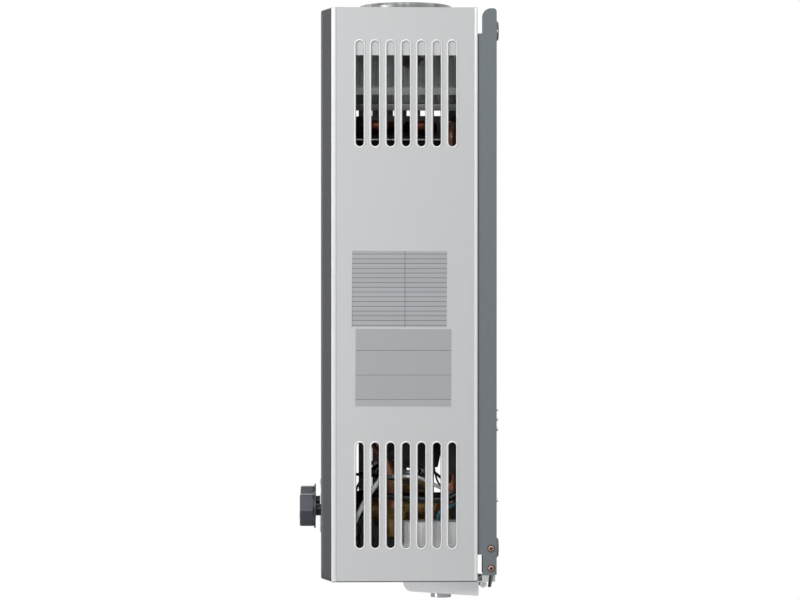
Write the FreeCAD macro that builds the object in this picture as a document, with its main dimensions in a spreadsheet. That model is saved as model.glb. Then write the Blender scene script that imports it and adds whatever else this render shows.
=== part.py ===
import FreeCAD, Part
import math
import os
import Sketcher

# Wall-hung gas water heater. X is the width (the user's right is +X), the front faces -Y, Z is up.
# The origin lies on the wall, midway between the two upper hanging slots. All sizes are millimetres.

SIZES = {
    # Casing and back plate
    "casing_width": 340.0,
    "casing_height": 575.3,
    "casing_depth": 146.5,
    "casing_sheet": 0.8,
    "casing_bend": 4.0,
    "casing_standoff": 23.7,
    "hang_height": 556.0,
    "plate_sheet": 1.0,
    "plate_standoff": 4.5,
    "plate_side_gap": 0.2,
    "plate_overlap": 12.0,
    "ear_depth": 14.7,
    "ear_height": 25.2,
    "foot_height": 20.3,
    "foot_gap": 6.8,
    "hang_spacing": 250.0,
    "hang_hole": 6.5,
    "hang_slot": 12.0,
    "lower_hole_height": 30.0,
    "boss_radius": 13.0,
    "screw_low": 13.3,
    "screw_high": 33.2,
    "screw_setback": 10.1,
    "rear_screw_offset": 142.0,
    "foot_recess": 224.0,
    "rib_height": 330.0,
    # Vents
    "vent_count": 7,
    "vent_width": 8.4,
    "vent_length": 106.0,
    "vent_pitch": 15.44,
    "vent_first": 28.5,
    "vent_top_margin": 33.4,
    "vent_foot_margin": 34.0,
    "top_flange": 47.2,
    # Front panel, display and knobs
    "panel_depth": 10.3,
    "panel_taper": 3.0,
    "panel_sheet": 1.0,
    "panel_inset": 1.5,
    "panel_corner": 6.0,
    "knob_spacing": 110.0,
    "knob_height": 63.0,
    "knob_flats": 32.5,
    "knob_flange": 38.0,
    "knob_length": 16.6,
    "knob_gap": 5.5,
    "stem_diameter": 12.0,
    "spindle_diameter": 8.0,
    "display_diameter": 58.0,
    "display_rise": 1.1,
    # Flue way
    "flue_setback": 79.8,
    "collar_diameter": 99.6,
    "collar_rise": 18.5,
    "collar_bead": 0.9,
    "hood_width": 230.0,
    "hood_depth": 119.0,
    "hood_foot": 492.0,
    "hood_skirt": 43.0,
    "hood_shoulder": 25.0,
    "hood_lip": 9.0,
    "spill_hole": 20.0,
    # Exchanger
    "core_width": 224.0,
    "core_depth": 110.0,
    "core_foot": 205.0,
    "core_top": 470.4,
    "core_sheet": 0.8,
    "pipe_diameter": 14.0,
    "pipe_bend": 22.0,
    "tube_diameter": 15.0,
    "tube_pitch": 21.0,
    "tube_count": 5,
    "tube_height": 458.0,
    "sensor_height": 150.0,
    "sensor_wall": 1.2,
    "fin_count": 21,
    "fin_thickness": 1.2,
    "fin_height": 40.0,
    # Burner
    "bar_count": 10,
    "bar_width": 11.0,
    "burner_height": 42.0,
    "manifold_diameter": 20.0,
    "manifold_height": 123.0,
    # Valves and connections
    "valve_setback": 90.0,
    "disc_diameter": 64.0,
    "disc_thickness": 12.0,
    "rod_diameter": 6.0,
    "running_gap": 0.05,
    "stub_setback": 57.0,
    "stub_drop": 23.5,
    "stub_diameter": 20.955,
    "stub_bore": 15.0,
    "stub_relief": 0.5,
    "hot_offset": 94.0,
    "nut_flats": 26.0,
    "water_offset": 55.0,
    # Battery box and ignition controller
    "cell_bore": 35.0,
    "barrel_wall": 1.2,
    "box_top": 58.0,
    "box_side": 150.8,
    "box_front": 97.6,
    "lid_drop": 10.5,
    "lid_slope": 4.5,
    "hinge_setback": 17.0,
    "hinge_drop": 4.3,
    "hinge_radius": 4.2,
    "lid_overhang": 1.8,
    "controller_width": 23.0,
    "controller_depth": 38.0,
    "controller_setback": 18.0,
    "controller_height": 112.0,
    "controller_rise": 88.0,
    "fit": 0.3,
}

document = FreeCAD.newDocument("WaterHeater")
sheet = document.addObject("Spreadsheet::Sheet", "Sizes")
for row, (name, number) in enumerate(SIZES.items(), start=1):
    sheet.set(f"A{row}", name)
    sheet.set(f"B{row}", str(number))
    sheet.setAlias(f"B{row}", name)
document.recompute()


class Size:
    """A length with the sheet expression that drives it."""

    def __init__(self, value, text):
        self.value = value
        self.text = text

    def __float__(self):
        return float(self.value)

    def __add__(self, other):
        other = sized(other)
        return Size(self.value + other.value, f"({self.text} + {other.text})")

    def __sub__(self, other):
        other = sized(other)
        return Size(self.value - other.value, f"({self.text} - {other.text})")

    def __mul__(self, other):
        other = sized(other)
        return Size(self.value * other.value, f"({self.text} * {other.text})")

    def __truediv__(self, other):
        other = sized(other)
        return Size(self.value / other.value, f"({self.text} / {other.text})")

    def __neg__(self):
        return Size(-self.value, f"(0 - {self.text})")

    def __radd__(self, other):
        return sized(other) + self

    def __rsub__(self, other):
        return sized(other) - self

    def __rmul__(self, other):
        return sized(other) * self


def sized(amount):
    if isinstance(amount, Size):
        return amount
    return Size(float(amount), f"({float(amount)})")


def of(name):
    return Size(float(sheet.get(name)), f"Sizes.{name}")


def count_of(name):
    return int(sheet.get(name))


def bind(piece, prop, amount):
    piece.setExpression(prop, sized(amount).text)


VECTOR = FreeCAD.Vector
TURN = {
    "x": FreeCAD.Rotation(VECTOR(0, 1, 0), 90),
    "y": FreeCAD.Rotation(VECTOR(1, 0, 0), -90),
    "z": FreeCAD.Rotation(),
}
ROLES = {"x": "YZ_Plane", "y": "XZ_Plane", "z": "XY_Plane"}
NODES = []
PIPE_SIDES = 12
LEAD_SIDES = 6
SCREW_SIDES = 8
HOOD_FOLDS = 5
BARREL_SIDES = 16
DISC_SIDES = 40
# Sideways places of the two spark electrodes and the flame sensor
ELECTRODES = (-12.0, 12.0, 34.0)


def spot(x, y, z):
    return VECTOR(float(x), float(y), float(z))


def place(piece, x, y, z, axis="z"):
    piece.Placement = FreeCAD.Placement(VECTOR(), TURN[axis])
    for letter, amount in zip("xyz", (x, y, z)):
        bind(piece, ".Placement.Base." + letter, amount)
    return piece


def box(name, low, high):
    """A block between two corners."""
    piece = document.addObject("Part::Box", name)
    for prop, start, end in zip(("Length", "Width", "Height"), low, high):
        bind(piece, prop, sized(end) - start)
    return place(piece, *low)


def rod(name, x, y, z, axis, radius, length, sides=0):
    """A round bar from a point along an axis. Small plain ones are drawn with flat sides."""
    if sides:
        return prism(name, x, y, z, axis, sized(radius) * (2 * math.cos(math.pi / sides)), length, sides)
    piece = document.addObject("Part::Cylinder", name)
    bind(piece, "Radius", radius)
    bind(piece, "Height", length)
    return place(piece, x, y, z, axis)


def cone(name, x, y, z, axis, start_radius, end_radius, length):
    piece = document.addObject("Part::Cone", name)
    bind(piece, "Radius1", start_radius)
    bind(piece, "Radius2", end_radius)
    bind(piece, "Height", length)
    return place(piece, x, y, z, axis)


def prism(name, x, y, z, axis, flats, length, sides=6):
    """A regular bar, such as a hexagon nut, by its size across flats."""
    piece = document.addObject("Part::Prism", name)
    piece.Polygon = sides
    bind(piece, "Circumradius", sized(flats) / (2 * math.cos(math.pi / sides)))
    bind(piece, "Height", length)
    return place(piece, x, y, z, axis)


def joined(name, pieces):
    piece = document.addObject("Part::MultiFuse", name)
    piece.Shapes = pieces
    piece.Refine = True
    return piece


def cut(name, base, tools):
    if len(tools) > 1:
        tool = document.addObject("Part::Compound", name + "_tools")
        tool.Links = tools
    else:
        tool = tools[0]
    piece = document.addObject("Part::Cut", name)
    piece.Base = base
    piece.Tool = tool
    return piece


def group(name, pieces):
    piece = document.addObject("Part::Compound", name)
    piece.Links = pieces
    return piece


def mirrored(name, source):
    """The other hand of a piece, across the middle of the width."""
    piece = document.addObject("Part::Mirroring", name)
    piece.Source = source
    piece.Normal = VECTOR(1, 0, 0)
    return piece


def coded(name, shape):
    """A piece whose shape is worked out in code from the sheet."""
    piece = document.addObject("Part::Feature", name)
    piece.Shape = shape
    piece.Placement = FreeCAD.Placement()
    return piece


def node(name, piece):
    """Marks a finished sub-part; its label names its file."""
    piece.Label = name
    NODES.append(piece)
    return piece


def polygon(sketch, points):
    """A closed outline whose corners are all held by the sheet."""
    corners = [(sized(u), sized(v)) for u, v in points]
    first = sketch.GeometryCount
    total = len(corners)
    for index, (u, v) in enumerate(corners):
        nu, nv = corners[(index + 1) % total]
        sketch.addGeometry(Part.LineSegment(spot(u, v, 0), spot(nu, nv, 0)))
    for index, (u, v) in enumerate(corners):
        after = first + (index + 1) % total
        sketch.addConstraint(Sketcher.Constraint("Coincident", first + index, 2, after, 1))
        pinned(sketch, first + index, 1, u, v)


def pinned(sketch, geometry, point, u, v):
    for kind, amount in (("DistanceX", u), ("DistanceY", v)):
        made = sketch.addConstraint(Sketcher.Constraint(kind, -1, 1, geometry, point, float(amount)))
        sketch.setExpression(f"Constraints[{made}]", sized(amount).text)


def circle(sketch, u, v, radius):
    flat = Part.Circle(spot(u, v, 0), VECTOR(0, 0, 1), float(radius))
    made = sketch.addGeometry(flat)
    pinned(sketch, made, 3, u, v)
    held = sketch.addConstraint(Sketcher.Constraint("Radius", made, float(radius)))
    sketch.setExpression(f"Constraints[{held}]", sized(radius).text)


def upright_slot(sketch, u, low, high, width):
    """A slot with round ends that stands upright, given by its two ends."""
    radius = sized(width) / 2
    ends = (sized(low) + radius, sized(high) - radius)
    arcs = []
    for centre, start, end in ((ends[0], math.pi, 2 * math.pi), (ends[1], 0, math.pi)):
        ring = Part.Circle(spot(u, centre, 0), VECTOR(0, 0, 1), float(radius))
        arcs.append(sketch.addGeometry(Part.ArcOfCircle(ring, start, end)))
    foot, top = arcs
    sides = []
    for sign in (1, -1):
        edge = float(u) + sign * float(radius)
        bottom, crown = spot(edge, ends[0], 0), spot(edge, ends[1], 0)
        ordered = (bottom, crown) if sign > 0 else (crown, bottom)
        sides.append(sketch.addGeometry(Part.LineSegment(*ordered)))
    for first, end, second, start in (
        (foot, 2, sides[0], 1),
        (sides[0], 2, top, 1),
        (top, 2, sides[1], 1),
        (sides[1], 2, foot, 1),
    ):
        sketch.addConstraint(Sketcher.Constraint("Tangent", first, end, second, start))
    pinned(sketch, foot, 3, u, ends[0])
    pinned(sketch, top, 3, u, ends[1])
    sketch.addConstraint(Sketcher.Constraint("Equal", foot, top))
    held = sketch.addConstraint(Sketcher.Constraint("Radius", foot, float(radius)))
    sketch.setExpression(f"Constraints[{held}]", radius.text)


def sketch_on(body, name, axis, shift):
    """A sketch square to an axis, shifted from the body's origin plane."""
    drawn = body.newObject("Sketcher::SketchObject", name)
    for plane in body.Origin.OriginFeatures:
        if plane.Role == ROLES[axis]:
            drawn.AttachmentSupport = [(plane, "")]
    drawn.MapMode = "FlatFace"
    for letter, amount in zip("xyz", shift):
        bind(drawn, ".AttachmentOffset.Base." + letter, amount)
    return drawn


def new_body(name):
    return document.addObject("PartDesign::Body", name)


def padded(body, name, axis, start, end, outline, circles=()):
    """Pads an outline from one level to another along an axis. Outlines square to Y are drawn in X and Z."""
    low, high = sized(start), sized(end)
    level = -high if axis == "y" else low
    drawn = sketch_on(body, name + "_outline", axis, (0, 0, level))
    polygon(drawn, outline)
    for u, v, radius in circles:
        circle(drawn, u, v, radius)
    pad = body.newObject("PartDesign::Pad", name)
    pad.Profile = drawn
    bind(pad, "Length", high - low)
    return pad


def plate(name, axis, start, end, outline, circles=()):
    """A flat or folded piece with one outline all the way through."""
    body = new_body(name)
    padded(body, name + "_pad", axis, start, end, outline, circles)
    return body


def pocketed(body, name, axis, shapes):
    """Cuts right through, both ways from the body's middle plane."""
    drawn = sketch_on(body, name + "_outline", axis, (0, 0, 0))
    for shape in shapes:
        shape(drawn)
    pocket = body.newObject("PartDesign::Pocket", name)
    pocket.Profile = drawn
    pocket.SideType = "Symmetric"
    pocket.Type = "ThroughAll"
    return pocket, drawn


def turned(name, axis, x, y, z, outline):
    """A turned piece: the outline gives radius and height along the axis through a point."""
    body = new_body(name)
    if axis == "z":
        drawn = sketch_on(body, name + "_outline", "y", (x, z, -sized(y)))
        polygon(drawn, outline)
        spin = "V_Axis"
    elif axis == "y":
        drawn = sketch_on(body, name + "_outline", "z", (x, y, z))
        polygon(drawn, outline)
        spin = "V_Axis"
    else:
        drawn = sketch_on(body, name + "_outline", "z", (x, y, z))
        polygon(drawn, [(height, radius) for radius, height in outline])
        spin = "H_Axis"
    wheel = body.newObject("PartDesign::Revolution", name + "_turn")
    wheel.Profile = drawn
    wheel.ReferenceAxis = (drawn, [spin])
    wheel.Angle = 360
    return body


def edges_of(shape, test):
    return [f"Edge{number}" for number, edge in enumerate(shape.Edges, start=1) if test(edge)]


def along(edge, direction):
    """True for a straight edge that runs along a direction."""
    if edge.Curve.TypeId != "Part::GeomLine":
        return False
    return abs(edge.tangentAt(edge.FirstParameter).dot(direction)) > 0.999


def rounded(body, feature, name, radius, test):
    """Rounds the edges of a feature that pass a test."""
    document.recompute()
    soft = body.newObject("PartDesign::Fillet", name)
    soft.Base = (feature, edges_of(feature.Shape, test))
    bind(soft, "Radius", radius)
    return soft


def bent_bar(points, face_at, bend=None):
    """A bar of straight runs and tangent bends. A bend is as large as asked, or as its two runs allow."""
    corners = [spot(*point) for point in points]
    heading = (corners[1] - corners[0]).normalize()
    face = face_at(corners[0], heading)
    start = corners[0]
    pieces = []
    for index in range(1, len(corners) - 1):
        corner = corners[index]
        inward = (corner - corners[index - 1]).normalize()
        outward = (corners[index + 1] - corner).normalize()
        angle = inward.getAngle(outward)
        first_share = 0.9 if index == 1 else 0.45
        last_share = 0.9 if index == len(corners) - 2 else 0.45
        room = min(
            first_share * (corner - corners[index - 1]).Length,
            last_share * (corners[index + 1] - corner).Length,
        )
        size = room / math.tan(angle / 2)
        if bend is not None:
            size = min(size, float(bend))
        before = corner - inward * (size * math.tan(angle / 2))
        after = corner + outward * (size * math.tan(angle / 2))
        pieces.append(face.extrude(before - start))
        face.translate(before - start)
        axis = inward.cross(outward).normalize()
        centre = before + axis.cross(inward) * size
        pieces.append(face.revolve(centre, axis, math.degrees(angle)))
        face.rotate(centre, axis, math.degrees(angle))
        start = after
    pieces.append(face.extrude(corners[-1] - start))
    return pieces[0].multiFuse(pieces[1:]).removeSplitter()


def sided_face(radius, sides):
    """A flat-sided section, drawn square to a heading."""

    def face_at(start, heading):
        ring = Part.Circle(start, heading, float(radius))
        corners = [ring.value(2 * math.pi * turn / sides) for turn in range(sides)]
        return Part.Face(Part.makePolygon(corners + corners[:1]))

    return face_at


def lead(name, points, diameter):
    """An insulated lead, clipped along its way, drawn with eight sides."""
    return coded(name, bent_bar(points, sided_face(sized(diameter) / 2, LEAD_SIDES)))


# Reference planes, heights above the casing's foot and widths that many pieces share
FOOT = -of("hang_height")
CASING_TOP = FOOT + of("casing_height")
HALF = of("casing_width") / 2
SHEET = of("casing_sheet")
INSIDE = HALF - SHEET
REAR = -of("casing_standoff")
FRONT = REAR - of("casing_depth")
PANEL_FACE = FRONT - of("panel_depth")
WEB_REAR = -of("plate_standoff")
WEB_FRONT = WEB_REAR - of("plate_sheet")
CORE_Y = FRONT + of("flue_setback")
KNOB_Z = FOOT + of("knob_height")
KNOB_X = of("knob_spacing") / 2
FIT = of("fit")


def level(height):
    """A height above the casing's foot."""
    return FOOT + height


# Back plate: a pressed web with side flanges that reach under the casing, and four bosses that meet the wall.
def back_plate():
    flange_out = INSIDE - of("plate_side_gap")
    flange_in = flange_out - of("plate_sheet")
    top = CASING_TOP - 0.7
    low = level(of("foot_gap"))
    ear_front = WEB_REAR - of("ear_depth")
    wide_front = REAR - of("plate_overlap")
    body = new_body("side_flange")
    outline = [
        (WEB_REAR, low),
        (WEB_REAR, top),
        (ear_front, top),
        (ear_front, top - of("ear_height")),
        (wide_front, top - of("ear_height")),
        (wide_front, low + of("foot_height")),
        (ear_front, low + of("foot_height")),
        (ear_front, low),
    ]
    pad = padded(body, "side_flange_pad", "x", flange_in, flange_out, outline)
    crown = float(top)
    ear = float(ear_front)
    wall = float(WEB_REAR)
    across = VECTOR(1, 0, 0)

    def at_top(edge, y):
        middle = edge.CenterOfMass
        return along(edge, across) and abs(middle.z - crown) < 0.01 and abs(middle.y - y) < 0.01

    soft = rounded(body, pad, "ear_front_round", 9.0, lambda edge: at_top(edge, ear))
    rounded(body, soft, "ear_rear_round", 3.4, lambda edge: at_top(edge, wall))
    # A tongue bent down and forward below each flange
    tongue = plate(
        "tongue",
        "x",
        flange_in,
        flange_out,
        [(-7.2, low + 0.6), (-11.6, low + 0.6), (-13.4, low - 12.2), (-10.2, low - 12.2)],
    )
    web = box("web", (-flange_in - 0.5, WEB_FRONT, low), (flange_in + 0.5, WEB_REAR, top - 3.5))
    solids = [web, body, mirrored("side_flange_left", body), tongue]
    hollows = []
    half_span = of("hang_spacing") / 2
    heights = (level(of("hang_height")), level(of("lower_hole_height")))
    rise = of("plate_standoff")
    for row, height in enumerate(heights):
        for side in (-1, 1):
            x = half_span * side
            tag = f"{row}_{'right' if side > 0 else 'left'}"
            outer, face = of("boss_radius"), of("boss_radius") - 4
            solids.append(cone("boss_" + tag, x, WEB_REAR - 0.01, height, "y", outer, face, rise + 0.01))
            wall_in = of("plate_sheet")
            hollows.append(
                cone("boss_hollow_" + tag, x, WEB_FRONT - 0.1, height, "y", outer, face - 0.6, rise + 0.1)
            )
            hole = of("hang_hole") / 2
            reach = of("hang_slot") / 2 - hole
            if row == 0:
                for end in ("inner", "outer"):
                    shift = reach if end == "outer" else -reach
                    hollows.append(
                        rod(f"slot_{end}_{tag}", x + shift, -wall_in * 3, height, "y", hole, wall_in * 4)
                    )
                hollows.append(
                    box(
                        "slot_middle_" + tag,
                        (x - reach, -wall_in * 3, height - hole),
                        (x + reach, wall_in, height + hole),
                    )
                )
            else:
                hollows.append(
                    rod("lower_drill_" + tag, x, -wall_in * 3, height, "y", hole, wall_in * 4)
                )
    # Two upright beads pressed forward stiffen the web
    middle_height = level(of("casing_height") / 2 - 20)
    for side in (-1, 1):
        x = of("hang_spacing") * 0.3 * side
        reach = of("rib_height") / 2
        tag = "right" if side > 0 else "left"
        solids.append(
            box(
                "bead_" + tag,
                (x - 6, WEB_FRONT - 2.2, middle_height - reach),
                (x + 6, WEB_FRONT + 0.2, middle_height + reach),
            )
        )
        hollows.append(
            box(
                "bead_hollow_" + tag,
                (x - 5, WEB_FRONT - 1.2, middle_height - reach + 1),
                (x + 5, WEB_REAR + 1, middle_height + reach - 1),
            )
        )
    for height in (of("screw_low"), of("screw_high")):
        for start in (flange_in - 4, -flange_out - 4):
            name = f"flange_hole_{len(hollows)}"
            hollows.append(rod(name, start, -of("screw_setback"), level(height), "x", 2.1, 8, SCREW_SIDES))
    for number, (x, height) in enumerate(rear_screw_spots()):
        hollows.append(rod(f"rear_hole_{number}", x, WEB_FRONT - 1, level(height), "y", 2.0, 4, SCREW_SIDES))
    plate_all = joined("back_plate_solid", solids)
    node("back_plate", cut("back_plate_cut", plate_all, hollows))


def rear_screw_spots():
    """Where the self-tapping screws pass through the web: sideways place and height above the foot."""
    side = of("rear_screw_offset")
    return [(side, 553.9), (-side, 553.9), (side, 171.4), (side, 161.4), (side, 151.4), (side, 79.4)]


def casing_wrap():
    # Front and both sides folded from one sheet, with two rows of upright vents in each side
    body = new_body("casing_wrap")
    outline = [
        (-HALF, REAR),
        (-HALF, FRONT),
        (HALF, FRONT),
        (HALF, REAR),
        (INSIDE, REAR),
        (INSIDE, FRONT + SHEET),
        (-INSIDE, FRONT + SHEET),
        (-INSIDE, REAR),
    ]
    pad = padded(body, "wrap_pad", "z", FOOT, CASING_TOP, outline)
    upright = VECTOR(0, 0, 1)

    def outer_bend(edge):
        middle = edge.CenterOfMass
        return (
            along(edge, upright)
            and abs(abs(middle.x) - float(HALF)) < 0.01
            and abs(middle.y - float(FRONT)) < 0.01
        )

    def inner_bend(edge):
        middle = edge.CenterOfMass
        return (
            along(edge, upright)
            and abs(abs(middle.x) - float(INSIDE)) < 0.01
            and abs(middle.y - float(FRONT + SHEET)) < 0.01
        )

    outer = rounded(body, pad, "outer_bends", of("casing_bend"), outer_bend)
    rounded(body, outer, "inner_bends", of("casing_bend") - SHEET, inner_bend)
    first = FRONT + of("vent_first")
    upper_high = CASING_TOP - of("vent_top_margin")
    lower_low = FOOT + of("vent_foot_margin")
    vents, drawn = pocketed(
        body,
        "vents",
        "x",
        [
            lambda sketch: upright_slot(
                sketch, first, upper_high - of("vent_length"), upper_high, of("vent_width")
            ),
            lambda sketch: upright_slot(
                sketch, first, lower_low, lower_low + of("vent_length"), of("vent_width")
            ),
        ],
    )
    document.recompute()
    row = body.newObject("PartDesign::LinearPattern", "vent_row")
    row.Originals = [vents]
    row.Direction = (drawn, ["H_Axis"])
    row.Mode = "Spacing"
    row.Occurrences = count_of("vent_count")
    bind(row, "Offset", of("vent_pitch"))
    body.Tip = row
    front_holes = body.newObject("Sketcher::SketchObject", "front_holes_outline")
    for plane in body.Origin.OriginFeatures:
        if plane.Role == "XZ_Plane":
            front_holes.AttachmentSupport = [(plane, "")]
    front_holes.MapMode = "FlatFace"
    bind(front_holes, ".AttachmentOffset.Base.z", -FRONT)
    circle(front_holes, 0, KNOB_Z, of("display_diameter") / 2 - 2)
    for side in (-1, 1):
        circle(front_holes, KNOB_X * side, KNOB_Z, of("stem_diameter") / 2 + 3)
    holes = body.newObject("PartDesign::Pocket", "front_holes")
    holes.Profile = front_holes
    bind(holes, "Length", of("casing_sheet") * 4)
    body.Tip = holes
    node("casing_wrap", body)


def casing_ends():
    # The top tray has deep side flanges that show behind the upper vents and a hole for the flue collar
    inner_front = FRONT + SHEET
    flange_low = CASING_TOP - SHEET - of("top_flange")
    outer = box("top_outer", (-INSIDE, inner_front, flange_low), (INSIDE, REAR, CASING_TOP))
    clear = REAR - of("plate_overlap") - 1
    inner = box(
        "top_inner",
        (-INSIDE + SHEET, inner_front + SHEET, flange_low - 1),
        (INSIDE - SHEET, REAR - SHEET, CASING_TOP - SHEET),
    )
    front_trim = box(
        "top_front_trim",
        (-INSIDE - 1, inner_front - 1, flange_low - 1),
        (INSIDE + 1, inner_front + of("casing_bend") + 1, CASING_TOP - 14),
    )
    rear_trim = box(
        "top_rear_trim",
        (-INSIDE - 1, clear, flange_low - 1),
        (INSIDE + 1, REAR + 1, CASING_TOP - 30),
    )
    bend = of("casing_bend") - SHEET
    corner_trims = [
        box(
            f"top_corner_{tag}",
            (min_x, inner_front - 1, CASING_TOP - 15),
            (max_x, inner_front + bend, CASING_TOP + 1),
        )
        for tag, min_x, max_x in (
            ("left", -INSIDE - 1, -INSIDE + bend),
            ("right", INSIDE - bend, INSIDE + 1),
        )
    ]
    flue = rod(
        "top_flue_hole", 0, CORE_Y, CASING_TOP - 5, "z", of("collar_diameter") / 2 + FIT, 10
    )
    ear_trims = [
        box(
            f"top_ear_{tag}",
            (min_x, clear, CASING_TOP - 31),
            (max_x, REAR + 1, CASING_TOP - SHEET),
        )
        for tag, min_x, max_x in (
            ("left", -INSIDE - 1, -INSIDE + 6),
            ("right", INSIDE - 6, INSIDE + 1),
        )
    ]
    node(
        "casing_top",
        cut("casing_top_cut", outer, [inner, front_trim, rear_trim, flue] + corner_trims + ear_trims),
    )

    # The foot plate carries the connections and the battery box, with tabs behind for the flange screws
    flange = 12.0
    plate_outer = box("foot_outer", (-INSIDE, inner_front, FOOT), (INSIDE, WEB_FRONT - FIT, FOOT + flange))
    plate_inner = box(
        "foot_inner",
        (-INSIDE + SHEET, inner_front + SHEET, FOOT + SHEET),
        (INSIDE - SHEET, WEB_FRONT + 1, FOOT + flange + 1),
    )
    tab_out = INSIDE - of("plate_side_gap") - of("plate_sheet")
    side_trims = [
        box(
            f"foot_side_{tag}",
            (min_x, REAR - of("plate_overlap") - 1, FOOT - 1),
            (max_x, 1, FOOT + flange + 1),
        )
        for tag, min_x, max_x in (("left", -INSIDE - 1, -tab_out), ("right", tab_out, INSIDE + 1))
    ]
    foot_corners = [
        box(
            f"foot_corner_{tag}",
            (min_x, inner_front - 1, FOOT - 1),
            (max_x, inner_front + bend, FOOT + flange + 1),
        )
        for tag, min_x, max_x in (
            ("left", -INSIDE - 1, -INSIDE + bend),
            ("right", INSIDE - bend, INSIDE + 1),
        )
    ]
    stub = of("stub_diameter") / 2 + 1
    drills = [
        rod(f"stub_hole_{tag}", x, -of("stub_setback"), FOOT - 3, "z", stub, 8)
        for tag, x in stub_places()
    ]
    bay = box(
        "bay_window",
        (barrel_x() - barrel_out() - FIT, -of("box_front") - FIT, FOOT - 3),
        (barrel_x() + barrel_out() + FIT, box_rear() + FIT, FOOT + 3),
    )
    lug_window = box(
        "lug_window",
        (barrel_x() - 12, box_rear() - 1, FOOT - 3),
        (barrel_x() + 12, -of("hinge_setback") + 1, FOOT + 3),
    )
    # The floor stops short of the wall between the corners, so the back plate can hang free
    recess = of("foot_recess") / 2
    rear_recess = box("foot_rear_recess", (-recess, REAR, FOOT - 1), (recess, 1, FOOT + flange + 1))
    windows = [plate_inner, bay, lug_window, rear_recess]
    floor = cut("foot_cut", plate_outer, windows + side_trims + foot_corners + drills)
    tabs = []
    for tag, side in (("left", -1), ("right", 1)):
        start = tab_out * side - (1.0 if side > 0 else 0)
        tab = box(f"foot_tab_{tag}", (start, -19.0, FOOT), (start + 1.0, WEB_FRONT - FIT, level(42)))
        drill = []
        for mark in ("screw_low", "screw_high"):
            height = level(of(mark))
            name = f"tab_hole_{tag}_{mark}"
            drill.append(rod(name, start - 2, -of("screw_setback"), height, "x", 1.6, 6, SCREW_SIDES))
        tabs.append(cut(f"foot_tab_cut_{tag}", tab, drill))
    node("casing_bottom", joined("casing_bottom_all", [floor] + tabs))


def stub_places():
    """Sideways places of the three connections below the casing."""
    water = of("water_offset")
    return [("gas", -water), ("cold", water), ("hot", of("hot_offset"))]


def barrel_out():
    return of("cell_bore") / 2 + of("barrel_wall")


def barrel_x():
    return of("box_side") - barrel_out()


def box_rear():
    return barrel_y(1) + barrel_out()


def barrel_y(index):
    """The two cells stand one behind the other."""
    pitch = of("cell_bore") + of("barrel_wall")
    return -of("box_front") + barrel_out() + pitch * index


def front_panel():
    # A pressed tray whose sides lean in towards its flat front
    inset, taper, thick = of("panel_inset"), of("panel_taper"), of("panel_sheet")

    def tray(name, shrink, rear_shift, front_shift):
        half = HALF - inset - shrink
        low, high = FOOT + shrink, CASING_TOP - shrink
        body = new_body(name)
        drawings = []
        rear, front = -FRONT + rear_shift, -PANEL_FACE + front_shift
        for tag, depth, lean in (("rear", rear, 0), ("front", front, taper)):
            drawn = sketch_on(body, f"{name}_{tag}", "y", (0, 0, depth))
            polygon(
                drawn,
                [
                    (-half + lean, low + lean),
                    (half - lean, low + lean),
                    (half - lean, high - lean),
                    (-half + lean, high - lean),
                ],
            )
            drawings.append(drawn)
        loft = body.newObject("PartDesign::AdditiveLoft", name + "_loft")
        loft.Profile = drawings[0]
        loft.Sections = [drawings[1]]
        loft.Ruled = True
        front = float(PANEL_FACE) - float(front_shift)

        def corner(edge):
            ends = [vertex.Point.y for vertex in edge.Vertexes]
            return max(ends) - min(ends) > 2

        soft = rounded(body, loft, name + "_corners", of("panel_corner") - shrink, corner)
        rounded(
            body,
            soft,
            name + "_rim",
            2.2 - shrink,
            lambda edge: all(abs(vertex.Point.y - front) < 0.01 for vertex in edge.Vertexes),
        )
        return body

    outer = tray("panel_outer", sized(0), sized(0), sized(0))
    inner = tray("panel_inner", thick, sized(-0.01), -thick)
    window = of("display_diameter") / 2 - 3
    tools = [inner, rod("panel_display_hole", 0, PANEL_FACE - 3, KNOB_Z, "y", window, 6)]
    for tag, side in (("gas", -1), ("water", 1)):
        radius = of("stem_diameter") / 2 + 1
        tools.append(rod(f"panel_stem_hole_{tag}", KNOB_X * side, PANEL_FACE - 3, KNOB_Z, "y", radius, 6))
    node("front_panel", cut("front_panel_cut", outer, tools))


def display():
    # A slightly domed round display in a slim metal ring, on a module held behind the casing
    radius = of("display_diameter") / 2
    rise = of("display_rise")
    face = PANEL_FACE
    ring = [
        (radius - 4.5, face + of("panel_sheet")),
        (radius - 3.2, face + of("panel_sheet")),
        (radius - 3.2, face),
        (radius, face),
        (radius - 0.6, face - rise * 0.7),
        (radius - 2.2, face - rise),
        (radius - 4.5, face - rise * 0.8),
    ]
    node("display_bezel", turned("display_bezel", "y", 0, 0, KNOB_Z, ring))
    inner = radius - 4.5
    lens = [
        (0, face + 0.6),
        (inner, face + 0.6),
        (inner, face - rise * 0.6),
        (inner * 0.8, face - rise * 0.85),
        (0, face - rise * 0.85),
    ]
    node("display_lens", turned("display_lens", "y", 0, 0, KNOB_Z, lens))
    nose = rod("module_nose", 0, face + 0.6, KNOB_Z, "y", radius - 4.6, FRONT + SHEET - face - 0.6)
    half = of("display_diameter") / 2 + 3
    case = box(
        "module_case",
        (-half, FRONT + SHEET, KNOB_Z - half * 0.8),
        (half, FRONT + SHEET + 16, KNOB_Z + half * 0.8),
    )
    plug = box("module_socket", (-9, FRONT + SHEET + 16, KNOB_Z + 8), (9, FRONT + SHEET + 21, KNOB_Z + 16))
    node("display_module", joined("display_module_all", [nose, case, plug]))


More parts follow.
